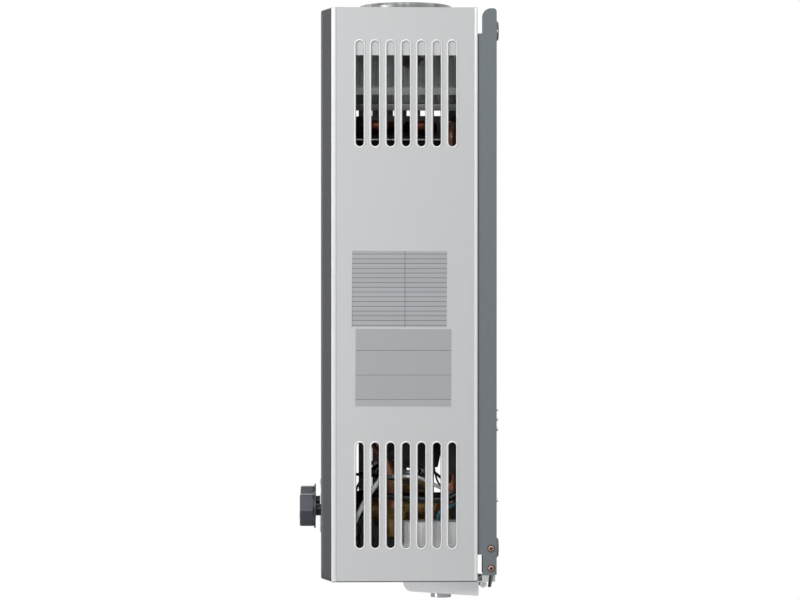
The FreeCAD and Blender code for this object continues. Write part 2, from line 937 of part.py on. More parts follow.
def knobs():
    # Six-sided knobs flare into a round flange; each turns a valve spindle through its black stem
    length = of("knob_length")
    base = PANEL_FACE - of("knob_gap")
    flats, flange = of("knob_flats"), of("knob_flange")
    for tag, side in (("gas", -1), ("water", 1)):
        x = KNOB_X * side
        skirt = [
            (of("stem_diameter") / 2 + 1.2, base),
            (flange / 2, base),
            (flange / 2, base - 1.3),
            (flange / 2 - 1.7, base - 2.0),
            (flange / 2 - 3.2, base - 3.4),
            (flange / 2 - 4.2, base - 5.4),
            (0, base - 5.4),
            (0, base - 4.0),
            (of("stem_diameter") / 2 + 1.2, base - 4.0),
        ]
        disc = turned(f"{tag}_knob_skirt", "y", x, 0, KNOB_Z, skirt)
        corner = flats / (2 * math.cos(math.pi / 6))
        hexagon = []
        for turn in range(6):
            angle = math.radians(60 * turn)
            hexagon.append((x + corner * math.cos(angle), KNOB_Z + corner * math.sin(angle)))
        body = new_body(f"{tag}_knob_grip")
        pad = padded(body, f"{tag}_grip_pad", "y", base - length, base - 3.0, hexagon)
        face = float(base - length)
        soft = rounded(
            body,
            pad,
            f"{tag}_grip_corners",
            2.5,
            lambda edge: along(edge, VECTOR(0, 1, 0)),
        )
        rounded(
            body,
            soft,
            f"{tag}_grip_face",
            1.6,
            lambda edge: all(abs(vertex.Point.y - face) < 0.01 for vertex in edge.Vertexes),
        )
        socket = rod(f"{tag}_knob_socket", x, base - 9.0, KNOB_Z, "y", of("stem_diameter") / 2, 10)
        node(f"{tag}_knob", cut(f"{tag}_knob_cut", joined(f"{tag}_knob_all", [disc, body]), [socket]))
        valve_face = -of("valve_setback") - 41.0
        stem_start = base - 9.0
        stem_radius = of("stem_diameter") / 2
        stem = rod(f"{tag}_stem", x, stem_start, KNOB_Z, "y", stem_radius, valve_face - stem_start)
        shaft = rod(
            f"{tag}_shaft", x, valve_face, KNOB_Z, "y", of("spindle_diameter") / 2, 20
        )
        key = box(
            f"{tag}_stem_flat",
            (x - 7, base - 9.1, KNOB_Z + of("stem_diameter") / 2 - 1.5),
            (x + 7, base - 1, KNOB_Z + 7),
        )
        node(f"{tag}_spindle", cut(f"{tag}_spindle_cut", joined(f"{tag}_spindle_all", [stem, shaft]), [key]))


def flue_way():
    # The collar is a short spun ring; the hood below it is a folded skirt with a square-to-round shoulder
    radius = of("collar_diameter") / 2
    top = CASING_TOP + of("collar_rise")
    skirt_low = level(of("hood_foot"))
    skirt_top = skirt_low + of("hood_skirt")
    neck_low = skirt_top + of("hood_shoulder")
    bead = of("collar_bead")
    collar = [
        (radius - SHEET, neck_low + 0.5),
        (radius, neck_low + 0.5),
        (radius, CASING_TOP + FIT),
        (radius + bead, CASING_TOP + FIT + bead / 2),
        (radius + bead, CASING_TOP + FIT + bead),
        (radius, CASING_TOP + FIT + bead * 2),
        (radius, top - 2.6),
        (radius - 1.1, top),
        (radius - 1.9, top),
        (radius - SHEET, top - 2.8),
    ]
    node("flue_collar", turned("flue_collar", "z", 0, CORE_Y, 0, collar))
    half_x, half_y = of("hood_width") / 2, of("hood_depth") / 2
    neck = radius - SHEET - 0.1

    def shoulder(shrink):
        """The square-to-round part: a fan of flat folds from each corner and one flat fold from each side."""
        x, y = float(half_x - shrink), float(half_y - shrink)
        foot = [spot(sx * x, CORE_Y + sy * y, skirt_top) for sx, sy in ((1, 1), (-1, 1), (-1, -1), (1, -1))]
        radius = float(neck - shrink)
        steps = 4 * HOOD_FOLDS
        rim = [
            spot(
                radius * math.cos(2 * math.pi * step / steps),
                CORE_Y + radius * math.sin(2 * math.pi * step / steps),
                neck_low,
            )
            for step in range(steps)
        ]
        outlines = [foot, rim]
        for index, corner in enumerate(foot):
            for step in range(index * HOOD_FOLDS, (index + 1) * HOOD_FOLDS):
                outlines.append([corner, rim[step], rim[(step + 1) % steps]])
            following = (index + 1) % 4
            outlines.append([corner, foot[following], rim[following * HOOD_FOLDS]])
        faces = [Part.Face(Part.makePolygon(outline + outline[:1])) for outline in outlines]
        return Part.makeSolid(Part.makeShell(faces))

    def skirt(shrink, low, high):
        half = (half_x - shrink, half_y - shrink)
        return Part.makeBox(
            float(half[0] * 2),
            float(half[1] * 2),
            float(high - low),
            spot(-half[0], CORE_Y - half[1], low),
        )

    lip = 1.6
    lip_top = skirt_low + of("hood_lip")
    outside = shoulder(0).fuse(skirt(0, lip_top, skirt_top)).fuse(skirt(-lip, skirt_low, lip_top))
    inside = shoulder(SHEET).fuse(skirt(SHEET, lip_top, skirt_top))
    inside = inside.fuse(skirt(SHEET - lip, skirt_low - 1, lip_top - SHEET)).fuse(
        skirt(SHEET, lip_top - SHEET - 0.1, lip_top + 0.1)
    )
    spigot = Part.makeCylinder(float(neck), 9.0, spot(0, CORE_Y, neck_low))
    bore = Part.makeCylinder(float(neck - SHEET), 9.5, spot(0, CORE_Y, neck_low - 0.2))
    spill_z = skirt_low + 35.8
    holes = []
    for y, size in ((0.0, of("spill_hole") / 2), (11.4, 1.6), (-11.4, 1.6)):
        reach = float(half_x) + 2
        start = spot(-reach, CORE_Y + 1.8 + y, spill_z)
        holes.append(Part.makeCylinder(float(size), 2 * reach, start, VECTOR(1, 0, 0)))
    shell = outside.fuse(spigot).cut(inside.fuse(bore)).cut(Part.makeCompound(holes))
    node("draught_hood", coded("draught_hood", shell.removeSplitter()))

    # The deflector is a shallow roof under the outlet, with tabs on the skirt's front and rear
    front, rear = CORE_Y - half_y + SHEET, CORE_Y + half_y - SHEET
    ridge = skirt_low + 36
    foot = skirt_low + 22
    node(
        "hood_deflector",
        plate(
            "hood_deflector",
            "x",
            -52,
            52,
            [
                (front, foot - 8),
                (front + 1, foot - 8),
                (front + 1, foot - 0.6),
                (CORE_Y, ridge - 1.2),
                (rear - 1, foot - 0.6),
                (rear - 1, foot - 8),
                (rear, foot - 8),
                (rear, foot + 0.3),
                (CORE_Y, ridge),
                (front, foot + 0.3),
            ],
        ),
    )
    brackets = []
    for tag, side in (("left", -1), ("right", 1)):
        start = of("hang_spacing") * 0.18 * side - 8
        brackets.append(
            plate(
                f"hood_bracket_{tag}",
                "x",
                start,
                start + 16,
                [
                    (WEB_FRONT, skirt_low + 12),
                    (WEB_FRONT, skirt_low + 40),
                    (WEB_FRONT - 1.2, skirt_low + 40),
                    (WEB_FRONT - 1.2, skirt_low + 24.2),
                    (rear + SHEET + 1.2, skirt_low + 24.2),
                    (rear + SHEET + 1.2, skirt_low + 38),
                    (rear + SHEET, skirt_low + 38),
                    (rear + SHEET, skirt_low + 23),
                    (WEB_FRONT - 1.2, skirt_low + 23),
                    (WEB_FRONT - 1.2, skirt_low + 12),
                ],
            )
        )
    node("hood_brackets", group("hood_brackets", brackets))
    base_x = -half_x
    spill = [
        rod("spill_flange", base_x - 1.2, CORE_Y + 1.8, spill_z, "x", 14.5, 1.2, 20),
        rod("spill_can", base_x - 11, CORE_Y + 1.8, spill_z, "x", 8.5, 9.8, 16),
        box("spill_tabs", (base_x - 18, CORE_Y - 1.2, spill_z - 3), (base_x - 11, CORE_Y + 4.8, spill_z + 3)),
    ]
    node("spill_thermostat", joined("spill_thermostat", spill))


def tube_y(index):
    return CORE_Y + of("tube_pitch") * (index - (count_of("tube_count") - 1) / 2)


def exchanger():
    # A copper shell with rounded corners: combustion space below, finned tubes across its top
    half_x, half_y = of("core_width") / 2, of("core_depth") / 2
    low, top = level(of("core_foot")), level(of("core_top"))
    pipe = of("pipe_diameter") / 2
    corner = of("pipe_bend") - pipe - FIT
    thick = of("core_sheet")
    tube_z = level(of("tube_height"))

    def block(name, shrink, start, end):
        body = new_body(name)
        x, y = half_x - shrink, half_y - shrink
        pad = padded(
            body,
            name + "_pad",
            "z",
            start,
            end,
            [(-x, CORE_Y - y), (x, CORE_Y - y), (x, CORE_Y + y), (-x, CORE_Y + y)],
        )
        rounded(body, pad, name + "_corners", corner - shrink, lambda edge: along(edge, VECTOR(0, 0, 1)))
        return body

    tools = [block("chamber_inside", thick, low - 1, top + 1)]
    count = count_of("tube_count")
    for index in range(count):
        tools.append(
            rod(
                f"tube_hole_{index}",
                -half_x - 2,
                tube_y(index),
                tube_z,
                "x",
                of("tube_diameter") / 2 + 0.1,
                of("core_width") + 4,
                PIPE_SIDES,
            )
        )
    node("combustion_chamber", cut("combustion_chamber", block("chamber_outside", sized(0), low, top), tools))

    # Fins: thin plates square to the tubes, notched round them from below
    fin_x = half_x - corner
    fin_low, fin_top = tube_z - of("fin_height") * 0.7, tube_z + of("fin_height") * 0.28
    reach = half_y - thick - FIT
    clear = of("tube_diameter") / 2 + 0.2
    outline = [(CORE_Y + reach, fin_top), (CORE_Y - reach, fin_top), (CORE_Y - reach, fin_low)]
    for index in range(count):
        centre = tube_y(index)
        outline.extend(
            [
                (centre - clear, fin_low),
                (centre - clear, tube_z + clear),
                (centre + clear, tube_z + clear),
                (centre + clear, fin_low),
            ]
        )
    outline.append((CORE_Y + reach, fin_low))
    flat = Part.Face(Part.makePolygon([spot(0, y, z) for y, z in outline + outline[:1]]))
    fins = []
    total = count_of("fin_count")
    for number in range(total):
        x = float(fin_x) * (2 * number / (total - 1) - 1)
        fin = flat.extrude(VECTOR(float(of("fin_thickness")), 0, 0))
        fin.translate(VECTOR(x - float(of("fin_thickness")) / 2, 0, 0))
        fins.append(fin)
    node("exchanger_fins", coded("exchanger_fins", Part.makeCompound(fins)))

    # One tube winds to and fro through the fins; its return bends stand outside the shell
    radius = of("tube_diameter") / 2
    run = float(half_x) + 6.0
    pieces = []
    half_pitch = float(of("tube_pitch")) / 2
    for index in range(count):
        y = float(tube_y(index))
        straight = sided_face(radius, PIPE_SIDES)(spot(-run, y, tube_z), VECTOR(1, 0, 0))
        pieces.append(straight.extrude(VECTOR(2 * run, 0, 0)))
        if index < count - 1:
            side = 1 if index % 2 == 0 else -1
            section = sided_face(radius, PIPE_SIDES)(spot(side * run, y, tube_z), VECTOR(1, 0, 0))
            pivot = spot(side * run, y + half_pitch, tube_z)
            pieces.append(section.revolve(pivot, VECTOR(0, 0, side), 180))
    whole = pieces[0].multiFuse(pieces[1:])
    node("exchanger_tubes", coded("exchanger_tubes", whole.removeSplitter()))

    # Side rails carry the shell from the back plate
    rails = []
    height = level(446.0)
    for tag, side, reach_y in (("right", 1, CORE_Y - half_y - 1), ("left", -1, CORE_Y - half_y + 34)):
        inner, outer = half_x + 0.2, half_x + 14
        low_x, high_x = (inner, outer) if side > 0 else (-outer, -inner)
        shelf = box(f"rail_shelf_{tag}", (low_x, reach_y, height - 1.2), (high_x, WEB_FRONT, height))
        foot_x = (outer - 1.2, outer) if side > 0 else (-outer, -outer + 1.2)
        web = box(f"rail_web_{tag}", (foot_x[0], -26, height - 16), (foot_x[1], WEB_FRONT, height))
        rails.append(joined(f"rail_{tag}", [shelf, web]))
    node("exchanger_rails", group("exchanger_rails", rails))


def pipework():
    pipe = of("pipe_diameter") / 2
    half_x, half_y = of("core_width") / 2 + pipe + FIT, of("core_depth") / 2 + pipe + FIT
    front, rear = CORE_Y - half_y, CORE_Y + half_y
    tube_z = level(of("tube_height"))
    run = of("core_width") / 2 + 6.0
    nut_y = -of("valve_setback") - 16.0
    nut_x = of("water_offset") + 43.0
    # Feed from the water valve, once and a half round the chamber, then up into the first tube
    points = [
        (nut_x, nut_y, level(58)),
        (nut_x, nut_y, level(78)),
        (half_x, nut_y - 4, level(102)),
        (half_x, nut_y - 17, level(136)),
        (half_x, nut_y - 17, level(226)),
        (half_x, rear, level(252)),
        (-half_x, rear, level(270)),
        (-half_x, front, level(284)),
        (half_x, front, level(304)),
        (half_x, rear, level(318)),
        (-half_x, rear, level(340)),
        (-half_x, tube_y(0) + 4, level(352)),
        (-half_x - 13, tube_y(0), level(400)),
        (-half_x - 13, tube_y(0), tube_z),
        (-run, tube_y(0), tube_z),
    ]
    node("feed_pipe", coded("feed_pipe", bent_bar(points, sided_face(pipe, PIPE_SIDES), of("pipe_bend"))))
    last = tube_y(count_of("tube_count") - 1)
    out_x = of("core_width") / 2 + 23.0
    hot_x = of("hot_offset")
    hot = [
        (run, last, tube_z),
        (out_x, last, tube_z),
        (out_x, last + 1, level(248)),
        (half_x - 1, last + 2.4, level(206)),
        (half_x - 1, last + 2.4, level(86)),
        (hot_x, -of("stub_setback"), level(66)),
        (hot_x, -of("stub_setback"), level(44)),
    ]
    node("outlet_pipe", coded("outlet_pipe", bent_bar(hot, sided_face(pipe, PIPE_SIDES), of("pipe_bend"))))
    # Union nuts hold the copper pipes on the water valve and on the hot connection
    nuts = []
    for tag, x, y, height in (("feed", nut_x, nut_y, 58), ("hot", hot_x, -of("stub_setback"), 44)):
        body = prism(f"{tag}_nut_body", x, y, level(height), "z", 24, 11)
        hole = rod(f"{tag}_nut_bore", x, y, level(height - 1), "z", pipe + 0.35, 14)
        nuts.append(cut(f"{tag}_nut", body, [hole]))
    node("union_nuts", group("union_nuts", nuts))
    # A clip-on sensor reads the temperature of the outlet pipe. Its can faces the front
    clip_x, clip_y = outlet_x(), last + 2.4
    clip_low = level(of("sensor_height"))
    clip_top = clip_low + 9
    ring = rod("sensor_ring", clip_x, clip_y, clip_low, "z", pipe + of("sensor_wall"), 9)
    can_front, can_rear = clip_y - pipe - 2.2, clip_y - pipe
    can = box("sensor_can", (clip_x - 3.5, can_front, clip_low), (clip_x + 3.5, can_rear, clip_top))
    bore = rod("sensor_bore", clip_x, clip_y, clip_low - 1, "z", pipe + 0.1, 11)
    mouth = box(
        "sensor_split",
        (clip_x - pipe - 3, clip_y - 20, clip_low - 1),
        (clip_x - pipe + 0.8, clip_y + 20, clip_top + 1),
    )
    clip = joined("sensor_all", [ring, can])
    node("temperature_sensor", cut("temperature_sensor", clip, [bore, mouth]))
    # The overheat thermostat sits on the chamber wall above the coil
    wall = of("core_width") / 2
    node(
        "overheat_thermostat",
        joined(
            "overheat_thermostat",
            [
                rod("overheat_flange", wall, CORE_Y, level(400), "x", 12, 1.2, 16),
                rod("overheat_can", wall + 1, CORE_Y, level(400), "x", 8, 9, 16),
                box("overheat_tabs", (wall + 9, CORE_Y - 4, level(396)), (wall + 15, CORE_Y + 4, level(404))),
            ],
        ),
    )


def outlet_x():
    return of("core_width") / 2 + of("pipe_diameter") / 2 + FIT - 1


def controller_faces():
    """The controller stands just clear of the sensor on the outlet pipe."""
    inner = outlet_x() + of("pipe_diameter") / 2 + of("sensor_wall") + FIT
    return inner, inner + of("controller_width")


def bar_x(index):
    count = count_of("bar_count")
    pitch = (of("core_width") - 44) / (count - 1)
    return pitch * (index - (count - 1) / 2)


def burner():
    # An open frame under the chamber holds the burner bars; two cheeks reach down to the gas manifold
    half_x, half_y = of("core_width") / 2 - 1, of("core_depth") / 2 - 1
    top, low = level(of("core_foot")), level(of("core_foot")) - of("burner_height")
    manifold_z = level(of("manifold_height"))
    manifold_r = of("manifold_diameter") / 2
    manifold_y = -of("valve_setback") - 19.0
    frame_outer = box("frame_outer", (-half_x, CORE_Y - half_y, low), (half_x, CORE_Y + half_y, top))
    frame_inner = box(
        "frame_inner", (-half_x + 1, CORE_Y - half_y + 1, low - 1), (half_x - 1, CORE_Y + half_y - 1, top + 1)
    )
    ports = [
        rod(f"electrode_port_{number}", x, CORE_Y - half_y - 2, top - 4.5, "y", 3.0, 5, SCREW_SIDES)
        for number, x in enumerate(ELECTRODES)
    ]
    frame = cut("frame_ring", frame_outer, [frame_inner] + ports)
    cheeks = []
    for tag, start in (("left", -half_x), ("right", half_x - 1)):
        cheek = plate(
            f"cheek_{tag}",
            "x",
            start,
            start + 1,
            [
                (manifold_y - manifold_r - 3, manifold_z - manifold_r - 2),
                (manifold_y + 48, manifold_z - manifold_r - 2),
                (manifold_y + 51, manifold_z - manifold_r + 12),
                (manifold_y + 51, low + 0.5),
                (manifold_y - manifold_r - 3, low + 0.5),
            ],
        )
        cheeks.append(cheek)
    # The bars stand on a ledge along the front and the rear of the frame
    ledge_x, front, rear = half_x - 0.5, CORE_Y - half_y, CORE_Y + half_y
    ledges = [
        box("ledge_front", (-ledge_x, front + 0.5, top - 26), (ledge_x, front + 9, top - 25)),
        box("ledge_rear", (-ledge_x, rear - 9, top - 29), (ledge_x, rear - 0.5, top - 28)),
    ]
    node("burner_frame", joined("burner_frame", [frame] + cheeks + ledges))

    # Each bar is a pressed venturi: a mouth behind its injector, a bend, and a long flame channel above
    rear = CORE_Y + half_y - 5
    front = CORE_Y - half_y + 5
    mouth = manifold_y + manifold_r + 6
    outline = [
        (front, top - 8),
        (rear, top - 8),
        (rear, top - 28),
        (rear - 4, top - 28),
        (mouth + 35, top - 46),
        (mouth + 34.5, manifold_z + 5),
        (mouth + 27, manifold_z - 9),
        (mouth, manifold_z - 11),
        (mouth, manifold_z + 11),
        (mouth + 9, manifold_z + 10),
        (mouth + 15, manifold_z + 17),
        (mouth + 15, top - 49),
        (mouth + 1, top - 38),
        (front + 4, top - 25),
        (front, top - 25),
    ]
    flat = Part.Face(Part.makePolygon([spot(0, y, z) for y, z in outline + outline[:1]]))
    width = float(of("bar_width"))
    bars = []
    for index in range(count_of("bar_count")):
        x = float(bar_x(index))
        bar = flat.extrude(VECTOR(width, 0, 0))
        bar.translate(VECTOR(x - width / 2, 0, 0))
        mouth_face = sided_face(4.2, SCREW_SIDES)(spot(x, mouth - 1, manifold_z), VECTOR(0, 1, 0))
        throat = mouth_face.extrude(VECTOR(0, 22, 0))
        groove = Part.makeBox(3.0, float(rear - front) - 6, 4.0, spot(x - 1.5, front + 3, top - 11))
        bars.append(bar.cut(throat).cut(groove))
    node("burner_bars", coded("burner_bars", Part.makeCompound(bars)))

    # One round manifold feeds an injector for each bar
    pieces = [rod("manifold_tube", -half_x + 1, manifold_y, manifold_z, "x", manifold_r, half_x * 2 - 2)]
    for index in range(count_of("bar_count")):
        x = bar_x(index)
        pieces.append(prism(f"injector_hex_{index}", x, manifold_y + manifold_r - 1, manifold_z, "y", 8, 3.6))
        tip_y = manifold_y + manifold_r + 2.5
        pieces.append(rod(f"injector_tip_{index}", x, tip_y, manifold_z, "y", 2.4, 2.6, 6))
    node("gas_manifold", joined("gas_manifold", pieces))
    riser_x = -of("water_offset")
    valve_top = level(94.8)
    tube = rod("riser_tube", riser_x, manifold_y, valve_top, "z", 8, manifold_z - valve_top)
    flange = box(
        "riser_flange",
        (riser_x - 15, manifold_y - 11, valve_top),
        (riser_x + 15, manifold_y + 11, valve_top + 3),
    )
    over = rod("riser_saddle", -half_x, manifold_y, manifold_z, "x", manifold_r, half_x * 2)
    heads = [
        rod(f"riser_screw_{number}", riser_x + shift, manifold_y, valve_top + 2.9, "z", 3.0, 2.4, SCREW_SIDES)
        for number, shift in enumerate((-11.5, 11.5))
    ]
    node("gas_riser", cut("gas_riser", joined("riser_all", [tube, flange] + heads), [over]))

    # Ceramic electrodes pass through the frame just above the flame ports
    sticks = []
    wall = CORE_Y - half_y
    for number, x in enumerate(ELECTRODES):
        sticks.append(
            joined(
                f"electrode_{number}",
                [
                    rod(f"electrode_ceramic_{number}", x, wall - 10, top - 4.5, "y", 2.6, 18, SCREW_SIDES),
                    rod(f"electrode_collar_{number}", x, wall - 6.4, top - 4.5, "y", 3.6, 2.0, SCREW_SIDES),
                    rod(f"electrode_tip_{number}", x, wall + 7.9, top - 4.5, "y", 0.9, 11, 6),
                ],
            )
        )
    node("electrodes", group("electrodes", sticks))
    first, final = ELECTRODES[0], ELECTRODES[-1]
    holder = box("electrode_plate", (first - 9, wall - 1.2, top - 16), (final + 9, wall, top))
    holes = [
        rod(f"electrode_plate_hole_{number}", x, wall - 3, top - 4.5, "y", 2.9, 5, SCREW_SIDES)
        for number, x in enumerate(ELECTRODES)
    ]
    strap = box("electrode_strap", (first - 6, wall - 4.4, top - 16), (final + 6, wall - 1.1, top - 9))
    node("electrode_bracket", joined("electrode_bracket", [cut("electrode_plate_cut", holder, holes), strap]))


def valves():
    y = -of("valve_setback")
    gas_x, water_x = -of("water_offset"), of("water_offset")
    rod_r = of("rod_diameter") / 2
    bore_r = rod_r + of("running_gap")
    spindle_r = of("spindle_diameter") / 2 + of("running_gap")
    face = y - 41.0
    disc = of("disc_diameter") / 2
    thick = of("disc_thickness")
    rear = -of("stub_setback")

    # Gas valve: a die-cast block with bosses for the spindle, the rod and the inlet
    body = new_body("gas_block")
    pad = padded(
        body,
        "gas_block_pad",
        "z",
        level(38),
        level(94.8),
        [(gas_x - 29, y - 32), (gas_x + 29, y - 32), (gas_x + 29, y + 28), (gas_x - 29, y + 28)],
    )
    rounded(body, pad, "gas_block_corners", 7.0, lambda edge: along(edge, VECTOR(0, 0, 1)))
    castings = [
        body,
        rod("gas_spindle_boss", gas_x, face, KNOB_Z, "y", 13, 10),
        rod("gas_rod_boss", gas_x + 28, y, KNOB_Z, "x", 10, 8),
        rod("gas_inlet_boss", gas_x, rear, level(34), "z", 14, 26),
        box("gas_inlet_neck", (gas_x - 12, rear - 10, level(36)), (gas_x + 12, rear + 6, level(58))),
        prism("gas_gland", gas_x, face - 5, KNOB_Z, "y", 19, 5.5),
    ]
    drills = [
        rod("gas_spindle_bore", gas_x, face - 6, KNOB_Z, "y", spindle_r, 27.5),
        rod("gas_stem_bore", gas_x, face - 6, KNOB_Z, "y", of("stem_diameter") / 2 + 0.2, 6.1),
        rod("gas_rod_bore", gas_x - 12, y, KNOB_Z, "x", bore_r, 50),
        rod("gas_inlet_bore", gas_x, rear, level(33), "z", of("stub_bore") / 2, 16),
    ]
    node("gas_valve_body", cut("gas_valve_body", joined("gas_valve_all", castings), drills))

    # Solenoid: a wound coil in a steel yoke on the valve's left side
    end = gas_x - 29
    node(
        "solenoid_valve",
        joined(
            "solenoid_valve",
            [
                rod("solenoid_coil", end - 34, y, KNOB_Z, "x", 13, 31),
                rod("solenoid_core", end - 39, y, KNOB_Z, "x", 5, 39),
                box("solenoid_yoke_out", (end - 36, y - 14, level(48)), (end - 34, y + 14, level(78))),
                box("solenoid_yoke_in", (end - 3, y - 14, level(48)), (end, y + 14, level(78))),
                box("solenoid_yoke_top", (end - 36, y - 14, level(77)), (end, y + 14, level(79))),
            ],
        ),
    )

    # Water valve: a brass barrel with a diaphragm flange towards the gas valve and an outlet elbow
    nut_x, nut_y = water_x + 43, y - 16
    screws = []
    for turn in range(6):
        angle = math.radians(30 + 60 * turn)
        screws.append((y + (disc - 5) * math.cos(angle), KNOB_Z + (disc - 5) * math.sin(angle)))
    inner_face = water_x - 17
    body = turned(
        "water_barrel",
        "y",
        water_x,
        0,
        KNOB_Z,
        [
            (0, face + 4),
            (13, face + 4),
            (13, face + 11),
            (17.5, face + 15),
            (18, y - 10),
            (18, y + 34),
            (15.5, y + 43),
            (0, y + 46),
        ],
    )
    castings = [
        body,
        rod("water_neck", inner_face - 1, y, KNOB_Z, "x", 15, 18, BARREL_SIDES),
        rod("water_flange", inner_face - thick, y, KNOB_Z, "x", disc, thick, DISC_SIDES),
        rod("water_inlet_socket", water_x, rear, level(38), "z", 14, 25, BARREL_SIDES),
        rod("water_outlet_arm", water_x, nut_y, level(50), "x", 8, nut_x - water_x, PIPE_SIDES),
        rod("water_outlet_elbow", nut_x, nut_y, level(40), "z", 10.5, 18, PIPE_SIDES),
        rod("water_drain_boss", water_x, y - 12, level(41), "z", 8, 18, PIPE_SIDES),
        prism("water_gland", water_x, face, KNOB_Z, "y", 19, 4.5),
    ]
    drills = [
        rod("water_spindle_bore", water_x, face - 1, KNOB_Z, "y", spindle_r, 22.5),
        rod("water_inlet_bore", water_x, rear, level(37), "z", of("stub_bore") / 2, 20),
        rod("water_outlet_bore", nut_x, nut_y, level(50), "z", 6, 9, PIPE_SIDES),
    ]
    node("water_valve_body", cut("water_valve_body", joined("water_castings", castings), drills))

    # Diaphragm cover, its six screws and the rod that it guides
    cover_face = inner_face - thick
    cover = turned(
        "cover_turned",
        "x",
        0,
        y,
        KNOB_Z,
        [
            (bore_r, cover_face),
            (disc, cover_face),
            (disc, cover_face - thick + 3),
            (disc - 10, cover_face - thick + 3),
            (disc - 14, cover_face - thick),
            (10, cover_face - thick),
            (9, cover_face - thick - 6),
            (bore_r, cover_face - thick - 6),
        ],
    )
    node("diaphragm_cover", cover)
    heads = [
        prism(f"cover_head_{number}", cover_face - thick - 0.2, sy, sz, "x", 7, 3.2)
        for number, (sy, sz) in enumerate(screws)
    ]
    node("cover_screws", group("cover_screws", heads))
    rod_start = gas_x + 37
    node(
        "push_rod",
        joined(
            "push_rod",
            [
                rod("push_rod_shaft", rod_start, y, KNOB_Z, "x", rod_r, cover_face - 2 - rod_start),
                rod("push_rod_collar", rod_start + 12.5, y, KNOB_Z, "x", rod_r + 4, 3),
            ],
        ),
    )
    node("gas_plunger", rod("gas_plunger", gas_x - 5, y, KNOB_Z, "x", rod_r, 42 - FIT))

    # Microswitch over the rod, with a lever that the rod's collar swings
    plate_z = level(94.8)
    pivot_x, pivot_z = rod_start + 11.6, KNOB_Z + 16.5
    bracket = joined(
        "switch_bracket",
        [
            box("switch_shelf", (gas_x + 17, y - 9, plate_z), (gas_x + 53, y + 9, plate_z + 1.2)),
            box("switch_ear_front", (gas_x + 34, y - 9, level(72)), (gas_x + 53, y - 7.8, plate_z + 1.2)),
            box("switch_ear_rear", (gas_x + 34, y + 7.8, level(72)), (gas_x + 53, y + 9, plate_z + 1.2)),
            rod("switch_pivot", pivot_x, y - 9, pivot_z, "y", 1.0, 18),
        ],
    )
    node("switch_bracket", bracket)
    blade_low = KNOB_Z + rod_r + 0.4
    lever = joined(
        "lever_all",
        [
            box("lever_blade", (pivot_x - 0.6, y - 5, blade_low), (pivot_x + 0.6, y + 5, pivot_z + 11)),
            rod("lever_roll", pivot_x, y - 5, pivot_z, "y", 2.2, 10),
        ],
    )
    lever_bore = rod("lever_bore", pivot_x, y - 6, pivot_z, "y", 1.05, 12)
    node("switch_lever", cut("switch_lever", lever, [lever_bore]))
    switch = joined(
        "microswitch",
        [
            box("switch_case", (pivot_x - 13.6, y - 5, level(73)), (pivot_x - 3.6, y + 5, plate_z)),
            rod("switch_button", pivot_x - 4, y, pivot_z + 7.5, "x", 1.5, 3.1),
            box("switch_tag_low", (pivot_x - 11, y - 3, level(69)), (pivot_x - 10.2, y + 3, level(73.1))),
        ],
    )
    node("microswitch", switch)


def connections():
    # Threaded stubs through the foot plate, each with a hexagon collar above and a lock nut below
    rear = -of("stub_setback")
    outer, bore = of("stub_diameter") / 2, of("stub_bore") / 2
    shank = outer - of("stub_relief")
    flats, thick = of("nut_flats"), 5.5
    nut_low, end = FOOT - thick, FOOT - of("stub_drop")
    stub_tops = {"gas": level(34), "cold": level(38), "hot": level(44)}
    names = {"gas": "gas_inlet", "cold": "cold_inlet", "hot": "hot_outlet"}
    nuts = []
    for tag, x in stub_places():
        thread = rod(f"{tag}_stub_thread", x, rear, end, "z", outer, nut_low - end)
        upper = rod(f"{tag}_stub_shank", x, rear, nut_low, "z", shank, stub_tops[tag] - nut_low)
        collar = prism(f"{tag}_stub_collar", x, rear, FOOT + SHEET, "z", flats, 6)
        drill = rod(f"{tag}_stub_bore", x, rear, end - 1, "z", bore, stub_tops[tag] - end + 2)
        stub = joined(f"{tag}_stub_all", [thread, upper, collar])
        node(names[tag], cut(names[tag], stub, [drill]))
        nut = prism(f"{tag}_nut_outer", x, rear, nut_low, "z", flats, thick)
        hole = rod(f"{tag}_nut_hole", x, rear, nut_low - 1.5, "z", shank + 0.1, thick + 3.5)
        nuts.append(cut(f"{tag}_lock_nut", nut, [hole]))
    node("lock_nuts", group("lock_nuts", nuts))
    water_x = of("water_offset")
    y = -of("valve_setback") - 12
    plug = joined(
        "drain_plug",
        [
            prism("drain_head", water_x, y, level(33), "z", 13, 5),
            rod("drain_neck", water_x, y, level(37.9), "z", 5.5, 3.1),
        ],
    )
    node("drain_plug", plug)


